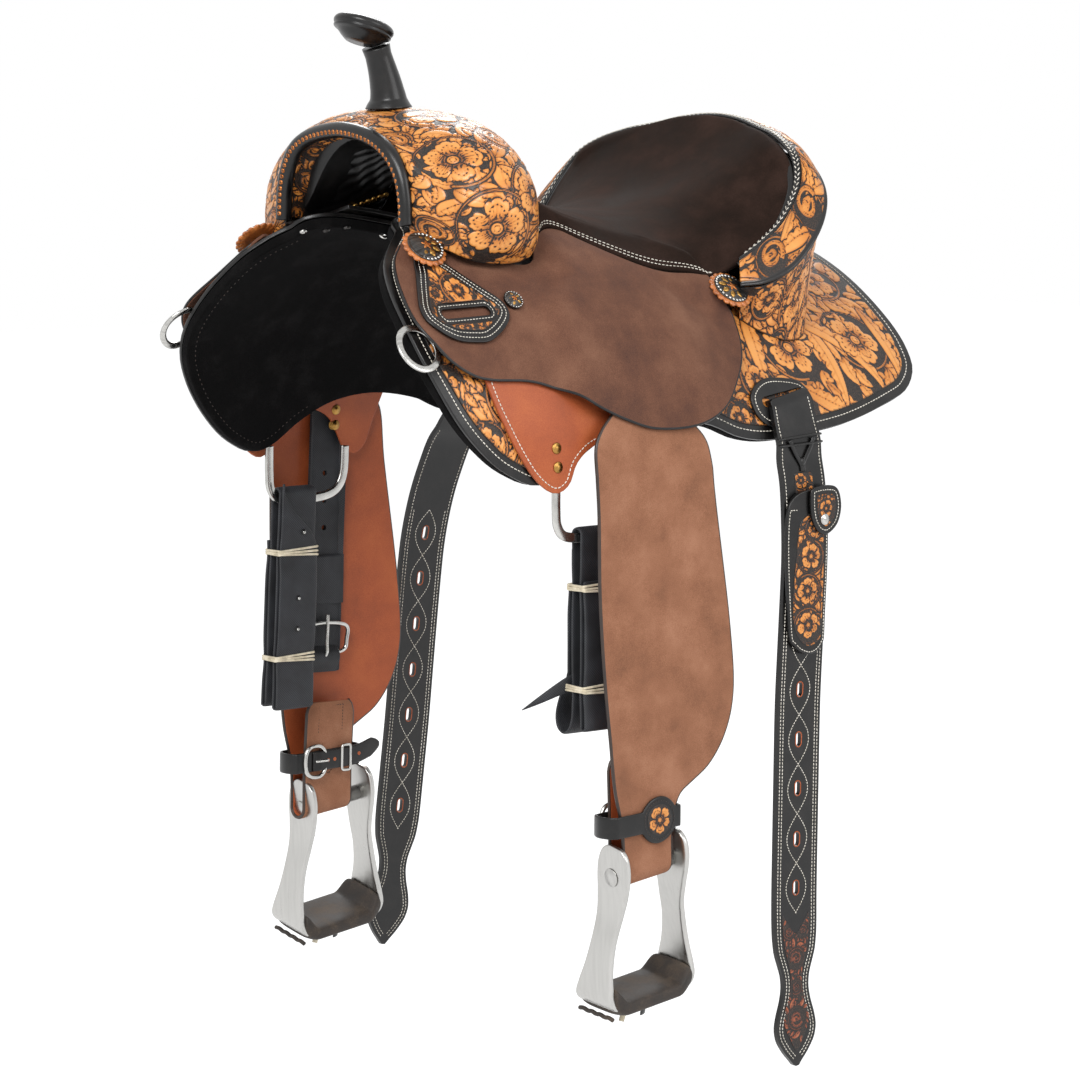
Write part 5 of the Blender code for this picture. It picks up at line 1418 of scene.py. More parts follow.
def leg_surface(side, d):
    """Grid of the fender's sheet at d out from its middle: stations along it, F across it."""
    y = y0[:, None] + (y1 - y0)[:, None] * F
    wave = 0.9 * np.sin(0.021 * path[:, 1:] + 3.1 * F + side) * np.sin(np.pi * F)
    wave = wave * step(-60, -130, path[:, 1:]) * step(-455, -400, path[:, 1:])
    grid = np.stack([side * (path[:, :1] + out[:, :1] * d + wave), y,
                     path[:, 1:] + out[:, 1:] * d + lean[:, None] * (y - BOLT[1])], -1)
    return hung(grid, side)


for side, tag in SIDES:
    outer, mid, inner = (leg_surface(side, d) for d in (1.9, 0.05, -1.9))
    pair = np.concatenate([outer, mid[:, ::-1]], 1)
    softened(loft(f"fender_rough_face_{tag}", pair, ROUGHOUT, node=f"fender_{tag}", slot="fender"), 0.8)
    pair = np.concatenate([leg_surface(side, -0.05), inner[:, ::-1]], 1)
    softened(loft(f"fender_smooth_face_{tag}", pair, RUSSET, body=f"leg_{tag}", slot="fender"), 0.8)
    for k, line in enumerate((mid[2:, 0], mid[2:, -1])):
        tube(f"fender_edge_{k}_{tag}", line, 1.75, EDGE, 8, up=(0, 1, 0.01), body=f"leg_{tag}",
             slot="fender")

# the sewn loops that hold the folded end of the leg; its face lies so far out at these heights
FLAP_BACK = ([-471, -440, -427, -408, -388, -370], [223.4, 223.8, 223.4, 222.6, 221.6, 220.8])
for side, tag in SIDES:
    k = np.linspace(0, 1, 60)
    lens = np.vstack([np.stack([-70.5 + 0 * k, -400 + 26 * k], 1)[::-1],
                      np.stack([-70.5 + 29 * k, -374 + 0 * k], 1),
                      np.stack([-41.5 + 0 * k, -400 + 26 * k], 1)[::-1]])
    belly = 13 * np.sin(np.pi * k)
    for name, rows in (("frame", lens), ("loop", np.stack([-56 - belly, -402 - 40 * k], 1)),
                       ("loop_back", np.stack([-56 + belly, -402 - 40 * k], 1))):
        x = np.interp(rows[:, 1], *FLAP_BACK)
        lean_at = np.tan(np.radians(STIRRUP_TILT)) * step(-400, -455, rows[:, 1])
        p = np.stack([side * (x - 2.0), rows[:, 0], rows[:, 1] + lean_at * (rows[:, 0] - BOLT[1])], 1)
        stitches(f"leg_stitches_{name}_{tag}", hung(p, side), straight_out(-side, p),
                 pitch=3.0, long=2.2, wide=0.8, material=BLACK, body=f"leg_{tag}")

# %% [markdown]
# The stirrup leather is the strap that carries the rider's weight. It hangs inside the fender, with a row of
# holes, a woven sleeve and a wire buckle. It is a flat sheet with real holes.

# %% Stirrup leathers
def upright(side, at, swing=True):
    """A standing surface of y and z; at(z) is how far out it is."""
    def place(y, z, h):
        p = np.stack([side * (at(z) + h), y + 0 * z, z + 0 * y], -1)
        return hung(p, side) if swing else p
    return place


def disc(a, b, r, n=18):
    """A round loop about (a, b)."""
    t = angles(n)
    return np.stack([a + r * np.cos(t), b + r * np.sin(t)], 1)


def frame_of(low_y, high_y, low_z, high_z, r=3.0):
    """A rounded rectangle, corner radius r."""
    out = []
    for cy, cz, start in ((high_y - r, high_z - r, 0), (low_y + r, high_z - r, 90),
                          (low_y + r, low_z + r, 180), (high_y - r, low_z + r, 270)):
        t = np.radians(np.linspace(start, start + 90, 5))
        out += [(cy + r * np.cos(q), cz + r * np.sin(q)) for q in t]
    return np.array(out)


for side, tag in SIDES:
    surf = upright(side, lambda z: fender_x(z) - 6.0)
    holes = [disc(-55, z, 2.7, 14) for z in (-146.8, -173.6, -200.5)]
    made = sheet(f"stirrup_leather_strap_{tag}", frame_of(-77, -33, -343, -62, 2.0), surf, 0.0, 3.4, NYLON,
                 holes=holes, spacing=6, exact=True, node=f"stirrup_leather_{tag}", slot="black_leather")
    softened(made, 0.7)
    for k, y in enumerate((-72.5, -37.5)):
        z = np.linspace(-70, -224, 80)
        p = surf(y + 0 * z, z, -0.1)
        stitches(f"stirrup_leather_stitches_{k}_{tag}", p, straight_out(-side, p),
                 pitch=3.4, long=2.5, wide=0.7, material=EDGE, body=f"leg_{tag}")
    z = np.linspace(-275.5, -227.5, 17)
    t = angles(72)[None]
    rib = 1 + 0.05 * np.cos(t * 36)
    swell_z = 1 + 0.06 * np.cos((z[:, None] + 251.5) / 48 * np.pi)
    ring = np.stack([side * (fender_x(z)[:, None] - 5.2 + 3.3 * swell_z * rib * squash(np.cos(t), 0.35)),
                     -55 + 24.6 * squash(np.sin(t), 0.35) + 0 * z[:, None], z[:, None] + 0 * t], -1)
    loft(f"stirrup_leather_sleeve_{tag}", hung(ring, side), NYLON, body=f"leg_{tag}", slot="black_leather")
    wire = curve([(-81, -298), (-82, -312), (-78, -322), (-55, -325), (-32, -322), (-28, -312), (-29, -298),
                  (-55, -294)], 96, True)
    wire = np.stack([np.full(96, side * 232.6), *wire.T], 1)
    tube(f"leather_buckle_wire_{tag}", hung(wire, side), 2.1, STEEL, 12, True, up=(1, 0, 0),
         node=f"leather_buckle_{tag}", slot="stainless")
    tongue = curve([(231.0, -327), (228.6, -322), (229.6, -312), (230.4, -300), (231.4, -286)], 30)
    tongue = np.stack([side * tongue[:, 0], -55 + 2 * step(-320, -290, tongue[:, 1]), tongue[:, 1]], 1)
    tube(f"leather_buckle_tongue_{tag}", hung(tongue, side), 1.9, STEEL, 10, up=(0, 1, 0),
         body=f"leg_{tag}", slot="stainless")
    fold = curve([(236.5, -318), (233.5, -321), (230.4, -325), (230.4, -331), (233.0, -336), (236.2, -343)],
                 20)
    way_f = tangent(fold)
    out_f = quarter(way_f)
    rings = [np.stack([side * (p[0] + o[0] * d), y, p[1] + o[1] * d]) for p, o in zip(fold, out_f)
             for d, y in ((0.9, -72), (0.9, -38), (-0.9, -38), (-0.9, -72))]
    softened(loft(f"stirrup_leather_fold_{tag}", hung(np.array(rings).reshape(20, 4, 3), side), NYLON,
                  body=f"leg_{tag}", slot="black_leather"), 0.5)

print("fenders and stirrup leathers made")

# %% [markdown]
# The hobble strap buckles the two layers of the leg together. The near one shows its round outer end, which
# carries a small carved flower here, and the off one shows its round buckle and free tip. Both are one
# closed band.

# %% Hobbles
HOBBLE = [(245.2, -96), (246.8, -88), (246.8, -26), (245.6, -20.5), (238, -18), (226, -18), (220.4, -21),
          (219, -28), (219, -90), (221, -98), (229, -101.5), (239, -100.5)]
HOBBLE_LEAN = np.tan(np.radians(STIRRUP_TILT * 0.45))
for side, tag in SIDES:
    loop = curve(HOBBLE, 150, True)
    way_h = tangent(loop, True)
    out_h = np.stack([way_h[:, 1], -way_h[:, 0]], 1)
    round_end = np.sqrt(np.maximum(21.5**2 - (loop[:, 1] + 46) ** 2, 0)) * (loop[:, 0] > 245.5)
    half = np.maximum(10.0, round_end)
    t = angles(16)[None]
    d, dz = 1.35 * squash(np.cos(t), 0.5), half[:, None] * squash(np.sin(t), 0.3)
    ring = np.stack([side * (loop[:, :1] + out_h[:, :1] * d), loop[:, 1:] + out_h[:, 1:] * d,
                     -427 + dz + HOBBLE_LEAN * (loop[:, 1:] + out_h[:, 1:] * d - BOLT[1])], -1)
    loft(f"hobble_band_{tag}", hung(ring, side), BLACK, around=True, node=f"hobble_strap_{tag}",
         slot="black_leather")
    face = upright(side, lambda z: 248.25 + 0 * z)
    centre_z = -427 + HOBBLE_LEAN * (-46 - BOLT[1])
    ring_out = disc(-46, centre_z, 14.6, 80)
    sheet(f"hobble_flower_{tag}", ring_out, face, -0.4, 0.35, TOOLED, spacing=0.8, exact=True,
          body=f"leg_{tag}", slot="black_leather", values=carving([(-46, centre_z, 13.6, 18, 1)], 0.7, 0.5))
    ring_st = disc(-46, centre_z, 17.6, 60)
    stitches(f"hobble_stitches_{tag}", face(*ring_st.T, 0.0 * ring_st[:, 0]),
             np.broadcast_to([side, 0, 0.0], (60, 3)),
             pitch=3.0, long=2.2, wide=0.75, closed=True, material=EDGE, body=f"leg_{tag}")
    # inner side: buckle, tongue, two keepers and the free tip
    level = lambda y: -427 + HOBBLE_LEAN * (y - BOLT[1])
    t = angles(64)
    ring = np.stack([side * np.full(64, 216.4), -76 + 12.5 * squash(np.cos(t), 0.8),
                     level(-76) + 15.5 * squash(np.sin(t), 0.8)], 1)
    tube(f"hobble_buckle_{tag}", hung(ring, side), 2.1, STEEL, 12, True, up=(1, 0, 0), body=f"leg_{tag}",
         slot="stainless")
    bar = np.stack([side * np.linspace(216.0, 213.8, 12), np.linspace(-76, -62, 12),
                    level(np.linspace(-76, -62, 12))], 1)
    tube(f"hobble_tongue_{tag}", hung(bar, side), 1.5, STEEL, 8, body=f"leg_{tag}", slot="stainless")
    y = np.linspace(-79, 2, 50)
    x = 216.9 - 1.6 * step(-79, -70, y) + 1.2 * step(-30, 0, y)
    wide = np.where(y > -8, 9.4 * np.sqrt(np.clip((2.6 - y) / 10.6, 0, 1)), 9.4)
    z = level(y) + 7.5 * step(-40, 6, y) ** 1.2
    t = angles(14)[None]
    ring = np.stack([side * (x[:, None] + 1.1 * squash(np.cos(t), 0.6)), y[:, None] + 0 * t,
                     z[:, None] + wide[:, None] * squash(np.sin(t), 0.35)], -1)
    loft(f"hobble_tip_{tag}", hung(ring, side), BLACK, body=f"leg_{tag}", slot="black_leather")
    holes = np.stack([side * np.full(3, 214.2), np.array([-62, -54, -24.0]),
                      level(np.array([-62, -54, -24.0])) + [0, 0, 1.6]], 1)
    domes(f"hobble_eyes_{tag}", hung(holes, side), np.broadcast_to([-side, 0, 0.0], (3, 3)), 1.9, 0.5,
          RUSSET, body=f"leg_{tag}")
    wire = frame_of(-45.5, -35, level(-40) - 12.5, level(-40) + 12.5, 2.5)
    wire = np.stack([np.full(len(wire), side * 214.0), *wire.T], 1)
    tube(f"hobble_loop_{tag}", hung(wire, side), 1.5, STEEL, 8, True, up=(1, 0, 0), body=f"leg_{tag}",
         slot="stainless")

# %% [markdown]
# The stirrup is one cast or bent aluminium bar with thick rims, hung on a bolt. It is a loft of one rounded
# section along the bar. The tread is leather laced round the base, with raised ends that grip the boot.

# %% Stirrups
tilt, swing = np.radians(STIRRUP_TILT), np.radians(STIRRUP_TURN)
EY, PLUMB = np.array([0, np.cos(tilt), np.sin(tilt)]), np.array([0, -np.sin(tilt), np.cos(tilt)])
EZ = PLUMB * np.cos(swing) + np.array([np.sin(swing), 0, 0])
ARM = [(35.2, 29.5, 5.0, 12), (35.4, 28, 6.4, 22), (35.6, 22, 7, 34), (35.8, 10, 7.4, 41),
       (35.8, -4, 7.4, 41), (36, -20, 7.4, 37),
       (38.0, -40, 7.4, 31), (42.6, -62, 7.8, 29), (46.6, -86, 8, 34), (49, -106, 8.5, 44),
       (49, -118, 9, 50), (44, -125, 9, 52), (34, -127.5, 8, 52)]
half = np.array(ARM)
bar = curve(np.vstack([half * (-1, 1, 1, 1), [(0, -128, 8, 52)], half[::-1]]), 230)
way = tangent(bar[:, :2])
out = quarter(way)
t = angles(40)[None]
across = 0.5 * squash(np.cos(t), 0.55)
rim_up = 0.80 + 0.42 * np.abs(2 * across) ** 5
through = 0.5 * squash(np.sin(t), 0.62) * rim_up
for side, tag in SIDES:
    eased = 8.0 if side > 0 else 1.0
    easing = np.radians(STIRRUP_TURN - eased * step(-50, -118, bar[:, 1]))[:, None]
    EXS = np.cos(easing) * np.array([1.0, 0, 0]) - np.sin(easing) * PLUMB
    centre = np.array([side * BOLT[0], BOLT[1], BOLT[2]])
    n = through * bar[:, 2:3]
    ring = (centre + (bar[:, 0:1] + out[:, 0:1] * n)[..., None] * EY
            + (bar[:, 1:2] + out[:, 1:2] * n)[..., None] * EZ
            + (across * bar[:, 3:4])[..., None] * EXS[:, None])
    loft(f"stirrup_frame_{tag}", ring, ALUMINIUM, node=f"stirrup_{tag}", slot="aluminium")
    rod = [(8.4, -39.7), (8.6, -39.4), (5.6, -39.3), (5.6, -31.4), (7.5, -31.2), (7.5, 31.2), (5.6, 31.4),
           (5.6, 39.3), (8.6, 39.4), (8.4, 39.7)]
    turned(f"stirrup_pin_{tag}", centre, EY, rod, ALUMINIUM, n=40, node=f"stirrup_bolt_{tag}",
           slot="stainless")
    y = np.concatenate([[-47], np.linspace(-46, 46, 93), [47]])
    lip = step(29, 45.5, np.abs(y)) ** 1.4
    close = np.sqrt(np.clip(1 - (np.abs(y) / 47.6) ** 14, 0.02, 1))
    top_z = -119.4 + 16.5 * lip
    low_z = -137.2 + 2.6 * lip
    deep = (30.2 - 2.4 * lip) * (0.9 + 0.1 * close)
    hollow = 1.6 * (1 - lip)
    t2 = angles(48)[None]
    u2, w2 = squash(np.cos(t2), 0.55), squash(np.sin(t2), 0.55)
    sink = -hollow[:, None] * (w2 > 0) * (1 - u2**2)
    middle_z, half_z = (top_z + low_z)[:, None] / 2, (top_z - low_z)[:, None] / 2 * close[:, None]
    flat_turn = np.radians(STIRRUP_TURN - eased)
    ex_low = np.array([np.cos(flat_turn), 0, 0]) - PLUMB * np.sin(flat_turn)
    ring = centre + y[:, None, None] * EY + (middle_z + half_z * w2 + sink)[..., None] * EZ
    ring = ring + (deep[:, None] * u2)[..., None] * ex_low
    loft(f"tread_leather_{tag}", ring, TREAD, node=f"tread_pad_{tag}", slot="tread")
    for name, shift, material in (("beige", -6, STRING), ("black", 3, BLACK)):
        end = curve([(shift, -134, 4), (shift * 1.4, -140, 6), (shift * 2.4, -147, 4 + shift * 0.3),
                     (shift * 2.9, -153, 3)], 16)
        p = centre + end[:, :1] * EY + end[:, 1:2] * EZ + end[:, 2:] * np.array([1.0, 0, 0])
        tube(f"tread_thong_{name}_{tag}", p, 3.4, material, 8, up=(1, 0, 0), flat=0.4, body=f"foot_{tag}",
             slot="tread")
    lace = []
    for k in range(9):
        a = -1 + 2 * k / 8
        lace.append(centre + (-46.4 - 0.6 * (k % 2)) * EY + (-137.0 + 1.4 * (k % 2)) * EZ + 23 * a * ex_low)
    tube(f"tread_lacing_{tag}", curve(np.array(lace), 60), 2.1, TREAD, 8, up=(0, 1, 0), body=f"foot_{tag}",
         slot="tread")

print("hobbles and stirrups made")

# %% [markdown]
# Folded straps hang in the rings. Each is one long band in layers, tied at two heights with three turns of
# string. The path of the CAD's band is rounded here, and it is pinched where the string pulls it in.

# %% Rings and bundles
def arc(cx, cz, r, a0, a1, n=9):
    """Points round a circle, in degrees."""
    q = np.radians(np.linspace(a0, a1, n))
    return np.stack([cx + r * np.cos(q), cz + r * np.sin(q)], 1)


ring_line = curve([(-142.8, -113), (-143, -140), (-141, -156), (-130, -165.5), (-97, -167), (-74, -165),
                   (-60, -158), (-53, -144), (-51, -118)], 120)
way_r = tangent(ring_line)
out_r = quarter(way_r)
t = angles(16)[None]
X = RING_X + np.array([-12, -6, 0, 6, 12.0])
BAND = 44.5
for side, tag in SIDES:
    dx, dn = 2.0 * squash(np.cos(t), 0.6), 4.5 * squash(np.sin(t), 0.6)
    ring = np.stack([side * (RING_X + dx + 0 * ring_line[:, :1]), ring_line[:, :1] + out_r[:, :1] * dn,
                     ring_line[:, 1:] + out_r[:, 1:] * dn], -1)
    loft(f"rigging_ring_steel_{tag}", ring, STEEL, node=f"rigging_ring_{tag}", slot="stainless")
    low, fore, lean_b = (-340, -119.5, 0.0) if side > 0 else (-366, -135.5, 0.05)
    strings = (-214, -306) if side > 0 else (-219, -322)
    if side > 0:
        line = [(X[0], -212), (X[0], -284), (198, -300), (190, -316), (186, -330), (188, -341), (196, -346),
                (204, -341), (208, -330), (X[1], -316), (X[1], -300), (X[1], -190), (X[1] + 0.6, -176)]
    else:
        line = [(X[0], -150), (X[0], -240), (X[0], low + 30)] + arc((X[0] + X[1]) / 2, low, 3, 180,
                                                                    360).tolist() + [(X[1], low + 30),
                                                                                     (X[1], -190)]
    line += arc(RING_X, -164.4 if side > 0 else -161.0, 6, 180, 0, 11).tolist()
    line += [(X[3], -190), (X[3], low + 30)] + arc((X[3] + X[4]) / 2, low + 2, 3, 180,
                                                   360).tolist() + [(X[4], low + 30), (X[4], -206)]
    dense = spaced(curve(line, 900), 420)
    pinch = sum(np.exp(-(((dense[:, 1] - z) / 15) ** 2)) for z in strings)
    dense[:, 0] = RING_X + (dense[:, 0] - RING_X) * (1 - 0.16 * pinch * (np.abs(dense[:, 0] - RING_X) < 12.6))
    way_b = tangent(dense)
    out_b = quarter(way_b)
    lean = (dense[:, 1] + 158) * lean_b
    cut = BAND * (1 - step(0, 34, np.arange(420))) if side < 0 else np.zeros(420)
    tq = angles(14)[None]
    wide_b = np.maximum(BAND - cut, 1.5)[:, None]
    d, e = 1.35 * squash(np.cos(tq), 0.6), 0.5 + 0.5 * squash(np.sin(tq), 0.25)
    ring = np.stack([side * (dense[:, :1] + out_b[:, :1] * d), fore + lean[:, None] + wide_b * e + 0 * d,
                     dense[:, 1:] + out_b[:, 1:] * d], -1)
    node = "latigo_bundle_near" if side > 0 else "off_billet_bundle_off"
    who = "latigo_near" if side > 0 else "billet_bundle_off"
    loft(f"folded_strap_{tag}", ring, NYLON, node=node, slot="nylon")
    for z in strings:
        shift = (z + 158) * lean_b
        x0 = 192.0 if z == -306 else RING_X - 11.9
        box = frame_of(fore - 0.9 + shift, fore + 45.4 + shift, x0 - RING_X, RING_X + 11.9 - RING_X, 2.5)
        for k in range(3):
            a = 0.05 * (k - 1)
            p = np.stack([side * (box[:, 1] + RING_X), box[:, 0],
                          z + 2.3 * k + a * (box[:, 0] - fore) + 0.8 * np.sin(box[:, 1] * 0.3 + k)], 1)
            tube(f"bundle_string_{abs(z)}_{k}_{tag}", p, 1.15, STRING, 7, True, up=(0, 0, 1), body=who,
                 slot="nylon")
    spots = [(-262, 0.5), (-322, 0.62)] if side > 0 else [(-198, 0.58), (-262, 0.5), (-292, 0.5)]
    out_x = side * (RING_X + 13.6 * side)
    eyes = np.array([(out_x, fore + BAND * f + (z + 158) * lean_b, z) for z, f in spots])
    domes(f"bundle_eyelets_{tag}", eyes, straight_out(1.0, eyes), 3.0, 0.9, BLACK,
          body=who, slot="nylon")
    domes(f"bundle_eye_centres_{tag}", eyes + (0.7, 0, 0), straight_out(1.0, eyes), 1.5,
          0.6, STEEL, body=who, slot="nylon")

# the latigo's pointed end sticks out forward below the lower string
tail = curve([(204, -108, -297), (200, -124, -303), (193, -143, -313), (187, -160, -322)], 30)
k = np.linspace(0, 1, 30)[:, None, None]
t = angles(12)[None, :, None]
high = 9.0 * (1 - k**1.6) + 0.6
flat = 1.3 * (1 - 0.5 * k)
ring = tail[:, None] + high * np.cos(t) * np.array([0.15, 0.25, 0.95])
ring = ring + flat * np.sin(t) * np.array([0.93, -0.36, 0.0])
loft("latigo_tail_near", ring, NYLON, body="latigo_near", slot="nylon")
print("rings and bundles made")

# %% [markdown]
# The rear billets are long black straps, sewn double, with slotted holes that stand in a chain of stitched
# lenses and a carved spear at the tip. A billet is a ribbon: its surface has a place across it and a place
# along it, so holes, seams and carving are all laid out flat and carried onto the hanging strap.

# %% Billets
def ribbon(line, middle, lean_at, side):
    """Surface of a hanging strap: across it, along it from the top, and out from its face."""
    line = np.array(line, float)
    gone = travel(line)
    way = tangent(line)
    normal = quarter(way)
    if normal[len(line) // 2, 0] < 0:
        normal = -normal

    def place(a, b, h):
        pick = lambda row: np.interp(b, gone, row)
        nx, nz, slant = pick(normal[:, 0]), pick(normal[:, 1]), pick(lean_at)
        return np.stack([side * (pick(line[:, 0]) + h * nx), pick(middle) + a * np.cos(slant),
                         pick(line[:, 1]) + h * nz - a * np.sin(slant)], -1)
    return place, gone


BACK_HEAD = back(128, [231.5, 231.5, 233, 238, 250, 262, 274],
                 [6.2, 10, 12.6, 13.4, 13.2, 13.4, 13.6])[:, [0, 2]]
DOWN = {
    1: ([(238, -112), (238.4, -140), (238.4, -250), (238.4, -400), (238.4, -560), (238.4, -600),
         (238.4, -612), (238.4, -624),
         (238.4, -640), (238.4, -660), (238.4, -683)], [-683, -525, -336, -198, -123, -98, -60, 0],
         [131, 128, 131, 139, 136, 127, 127, 128]),
    -1: ([(249, -112), (262, -140), (273, -230), (280, -400), (283, -510), (284, -550), (284.2, -562),
          (284.4, -574), (284.6, -590),
          (285, -610), (285.4, -638)], [-640, -590, -411, -224, -176, -132, -100, -60, 0],
          [46, 57, 77, 92, 101, 115, 123, 128, 128]),
}
# the holes' rows in the photograph, with the pixels to a millimetre there and the strap's own shift in pixels
HOLE_ROWS = {1: ((650, 700, 751, 801, 853, 903), 1.085, 22),
             -1: ((537, 583.5, 630, 677, 723, 770, 816), 1.006, -24.5)}
for side, tag in SIDES:
    down, mid_z, mid_y = DOWN[side]
    rough = np.vstack([BACK_HEAD, down])
    line = curve(rough[[0, 1, 2, 3, 4, 5, 6, 7, 8, 9, 10, 17]], 500)
    ease = np.exp(-((np.arange(-40, 41) / 18.0) ** 2))
    middle = np.convolve(np.pad(np.interp(line[:, 1], mid_z, mid_y), 40, "edge"), ease / ease.sum(),
                         "valid")
    fade = 1 - step(-50, -110, line[:, 1])
    slant = np.arctan(-0.22 * fade + (0.0 if side > 0 else np.tan(np.radians(6.0))) * (1 - fade))
    face, gone = ribbon(line, middle, slant, side)
    total = gone[-1]
    along = lambda z: float(np.interp(-z, -line[:, 1], gone))
    up_from_tip = np.array([141, 126, 110, 99, 88, 76, 64, 50, 38, 26, 13, 5, 0.5])
    wide_b = np.concatenate([[0.0, 10, 25, along(-112), along(-140)], total - up_from_tip])
    wide_a = np.array([23.0, 24, 25, 27, 27, 27, 26.6, 24.6, 20.6, 16.6, 15.6, 18.0, 23.0, 25.6, 23.2, 14.0,
                       6.0, 1.6])
    edge_b = np.linspace(0, total - 0.5, 300)
    edge_a = np.interp(edge_b, wide_b, wide_a)
    soft = np.exp(-((np.arange(-4, 5) / 2.0) ** 2))
    edge_a = np.convolve(np.pad(edge_a, 4, "edge"), soft / soft.sum(), "valid")
    outline = np.concatenate([np.stack([edge_a, edge_b], 1), np.stack([-edge_a, edge_b], 1)[::-1]])
    outline = spaced(np.vstack([outline, outline[:1]]), 330)[:-1]
    rows, scale, shift = HOLE_ROWS[side]
    at_b = [along(1000 * TARGET.z - (v - PHOTO_PIXELS / 2) / scale + REST + shift / scale) for v in rows]
    holes = [slot_loop((0, b - 3.4), (0, b + 3.4), 3.4, 7) for b in at_b]
    made = sheet(f"billet_strap_{tag}", outline, face, -2.4, 2.4, BLACK, holes=holes, spacing=5.5,
                 exact=True, node=f"rear_billet_{tag}", slot="billet")
    softened(made, 0.9)
    h = 2.4 * side
    for row, d in (("outer", 3.6), ("inner", 7.0)):
        loop = inset(outline, d)
        low_b = (9 if side > 0 else along(-112)) if row == "outer" else at_b[0] - 26
        for k in (1, -1):
            part = loop[(loop[:, 0] * k > 0.8) & (loop[:, 1] > low_b) & (loop[:, 1] < total - 7)]
            part = part[np.argsort(part[:, 1])]
            p = face(*part.T, h)
            out_n = face(*part.T, h + side) - p
            stitches(f"billet_stitches_{row}_{'front' if k < 0 else 'rear'}_{tag}", p, out_n, pitch=3.3,
                     long=2.5, wide=0.85, body=f"flank_billet_{tag}")
    b = np.linspace(at_b[0] - 23.5, at_b[-1] + 24.5, 420)
    pitch = (at_b[-1] - at_b[0]) / (len(at_b) - 1)
    swing_a = 12.6 * np.cos((b - at_b[0]) / pitch * np.pi)
    for k in (1, -1):
        p = face(k * swing_a, b, h)
        stitches(f"billet_lens_{'a' if k > 0 else 'b'}_{tag}", p, face(k * swing_a, b, h + side) - p,
                 pitch=2.9, long=2.3, wide=0.8, body=f"flank_billet_{tag}")
    for j, b0 in enumerate(at_b):
        p = face(*slot_loop((0, b0 - 3.4), (0, b0 + 3.4), 3.7, 9).T, h)
        tube(f"billet_hole_{j}_{tag}", p, 0.55, RUSSET, 6, True, up=(1, 0.02, 0),
             body=f"flank_billet_{tag}", slot="billet")
    if side > 0:
        half_tip = [(8.5, 27), (15, 39), (16, 50), (12.5, 63), (8.2, 76), (7.8, 90), (11.5, 104),
                    (15.5, 120), (17.5, 146), (10, 138)]
        tip = [(0, 15)] + half_tip + [(0, 128)] + [(-a, b) for a, b in half_tip[::-1]]
        tip = [(a, total - b) for a, b in tip]
        flowers = [(0, 46, -9.5, 20, 1), (0, 76, -6.0, 90, -1), (0, 104, -8.5, 150, 1), (9, 130, -6, 0, -1),
                   (-9, 130, -6, 0, 1)]
        flowers = [(a, total - b, *rest) for a, b, *rest in flowers]
        sheet("billet_tip_tooling", tip, face, 2.3, 2.65, CLAY, spacing=0.9,
              values=carving(flowers, 0.8, 0.5), body="flank_billet_near",
              slot="billet")
        b0, b1 = along(-122), along(-145)
        patch = frame_of(-11.5, 11.5, min(b0, b1), max(b0, b1), 3)
        flowers = [(-4, (b0 + b1) / 2 - 4, 8.5, 20, 1), (9, (b0 + b1) / 2 + 8, 7, 80, -1)]
        sheet("billet_top_tooling", patch, face, 2.3, 2.7, TOOLED, spacing=1.0, exact=True,
              body="flank_billet_near", slot="billet", values=carving(flowers, 0.8, 0.5))
        b0 = along(-92)
        a = np.linspace(-26.5, 26.5, 40)
        for k, b in enumerate((b0 - 3, b0 + 3)):
            p = face(a, b + 0 * a, 3.6 - 2.2 * np.abs(a / 26.5) ** 8)
            tube(f"lace_band_{k}", p, 2.6, BLACK, 8, up=(0, 0, 1), flat=0.5, body="flank_billet_near",
                 slot="billet")
        for k in (1, -1):
            vee = curve([(k * 15, b0 - 1, 4.6), (k * 9, b0 + 9, 4.4), (k * 1.6, b0 + 22, 3.8),
                         (k * 1.0, b0 + 29, 3.4)], 30)
            p = face(*vee.T)
            tube(f"lace_vee_{'rear' if k > 0 else 'front'}", p, 2.3, BLACK, 8, up=(1, 0, 0), flat=0.45,
                 body="flank_billet_near", slot="billet")
        domes("lace_knot", face(np.array([0.0]), np.array([b0 + 20.0]), np.array([3.4])), [(1.0, 0, 0)],
              4.2, 2.4, BLACK, body="flank_billet_near")

# %% [markdown]
# A small tool sheath is sewn on the near billet: a pouch with a carved front, and a flap with a snap.

# %% Sheath
POUCH = [(113, -152), (113, -262), (121, -284), (138, -292), (153, -284), (157, -262), (157, -152)]
COVER = [(138, -136), (134, -146), (136, -164), (144, -177), (156, -180), (169, -170), (173, -152),
         (165, -136)]
at_pouch = upright(1, lambda z: 241.3 + 0 * z, False)
at_cover = upright(1, lambda z: 249.0 + 0 * z, False)
softened(sheet("sheath_pouch", POUCH, at_pouch, 0.0, lambda y, z: 6.6 - 2.6 * step(136, 112, y), BLACK,
               node="billet_sheath_near", slot="sheath", spacing=4), 1.2)
front_face = [(127, -166), (121, -200), (117.5, -240), (120, -268), (132, -283), (147, -280), (152.5, -262),
              (152.5, -168)]
sheet("sheath_tooling", front_face, lambda y, z, h: at_pouch(y, z, h + 6.6 - 2.6 * step(136, 112, y)), -0.3,
      0.3, TOOLED, spacing=1.1, body="flank_billet_near", slot="sheath",
      values=carving([(135, -264, 13.5, 10, 1), (134, -232, 13, 80, -1), (138, -200, 13, 30, -1),
                      (142, -174, 9, 0, 1)], 0.9, 0.6))
edge = inset(curve(POUCH, 300, True), 2.6)
edge = edge[(edge[:, 1] < -156)]
lift = 6.6 - 2.6 * step(136, 112, edge[:, 0])
start = int(np.argmax(np.linalg.norm(np.diff(edge, axis=0), axis=1)))
edge = np.roll(edge, -start - 1, 0)
lift = np.roll(lift, -start - 1)
p = at_pouch(*edge.T, lift)
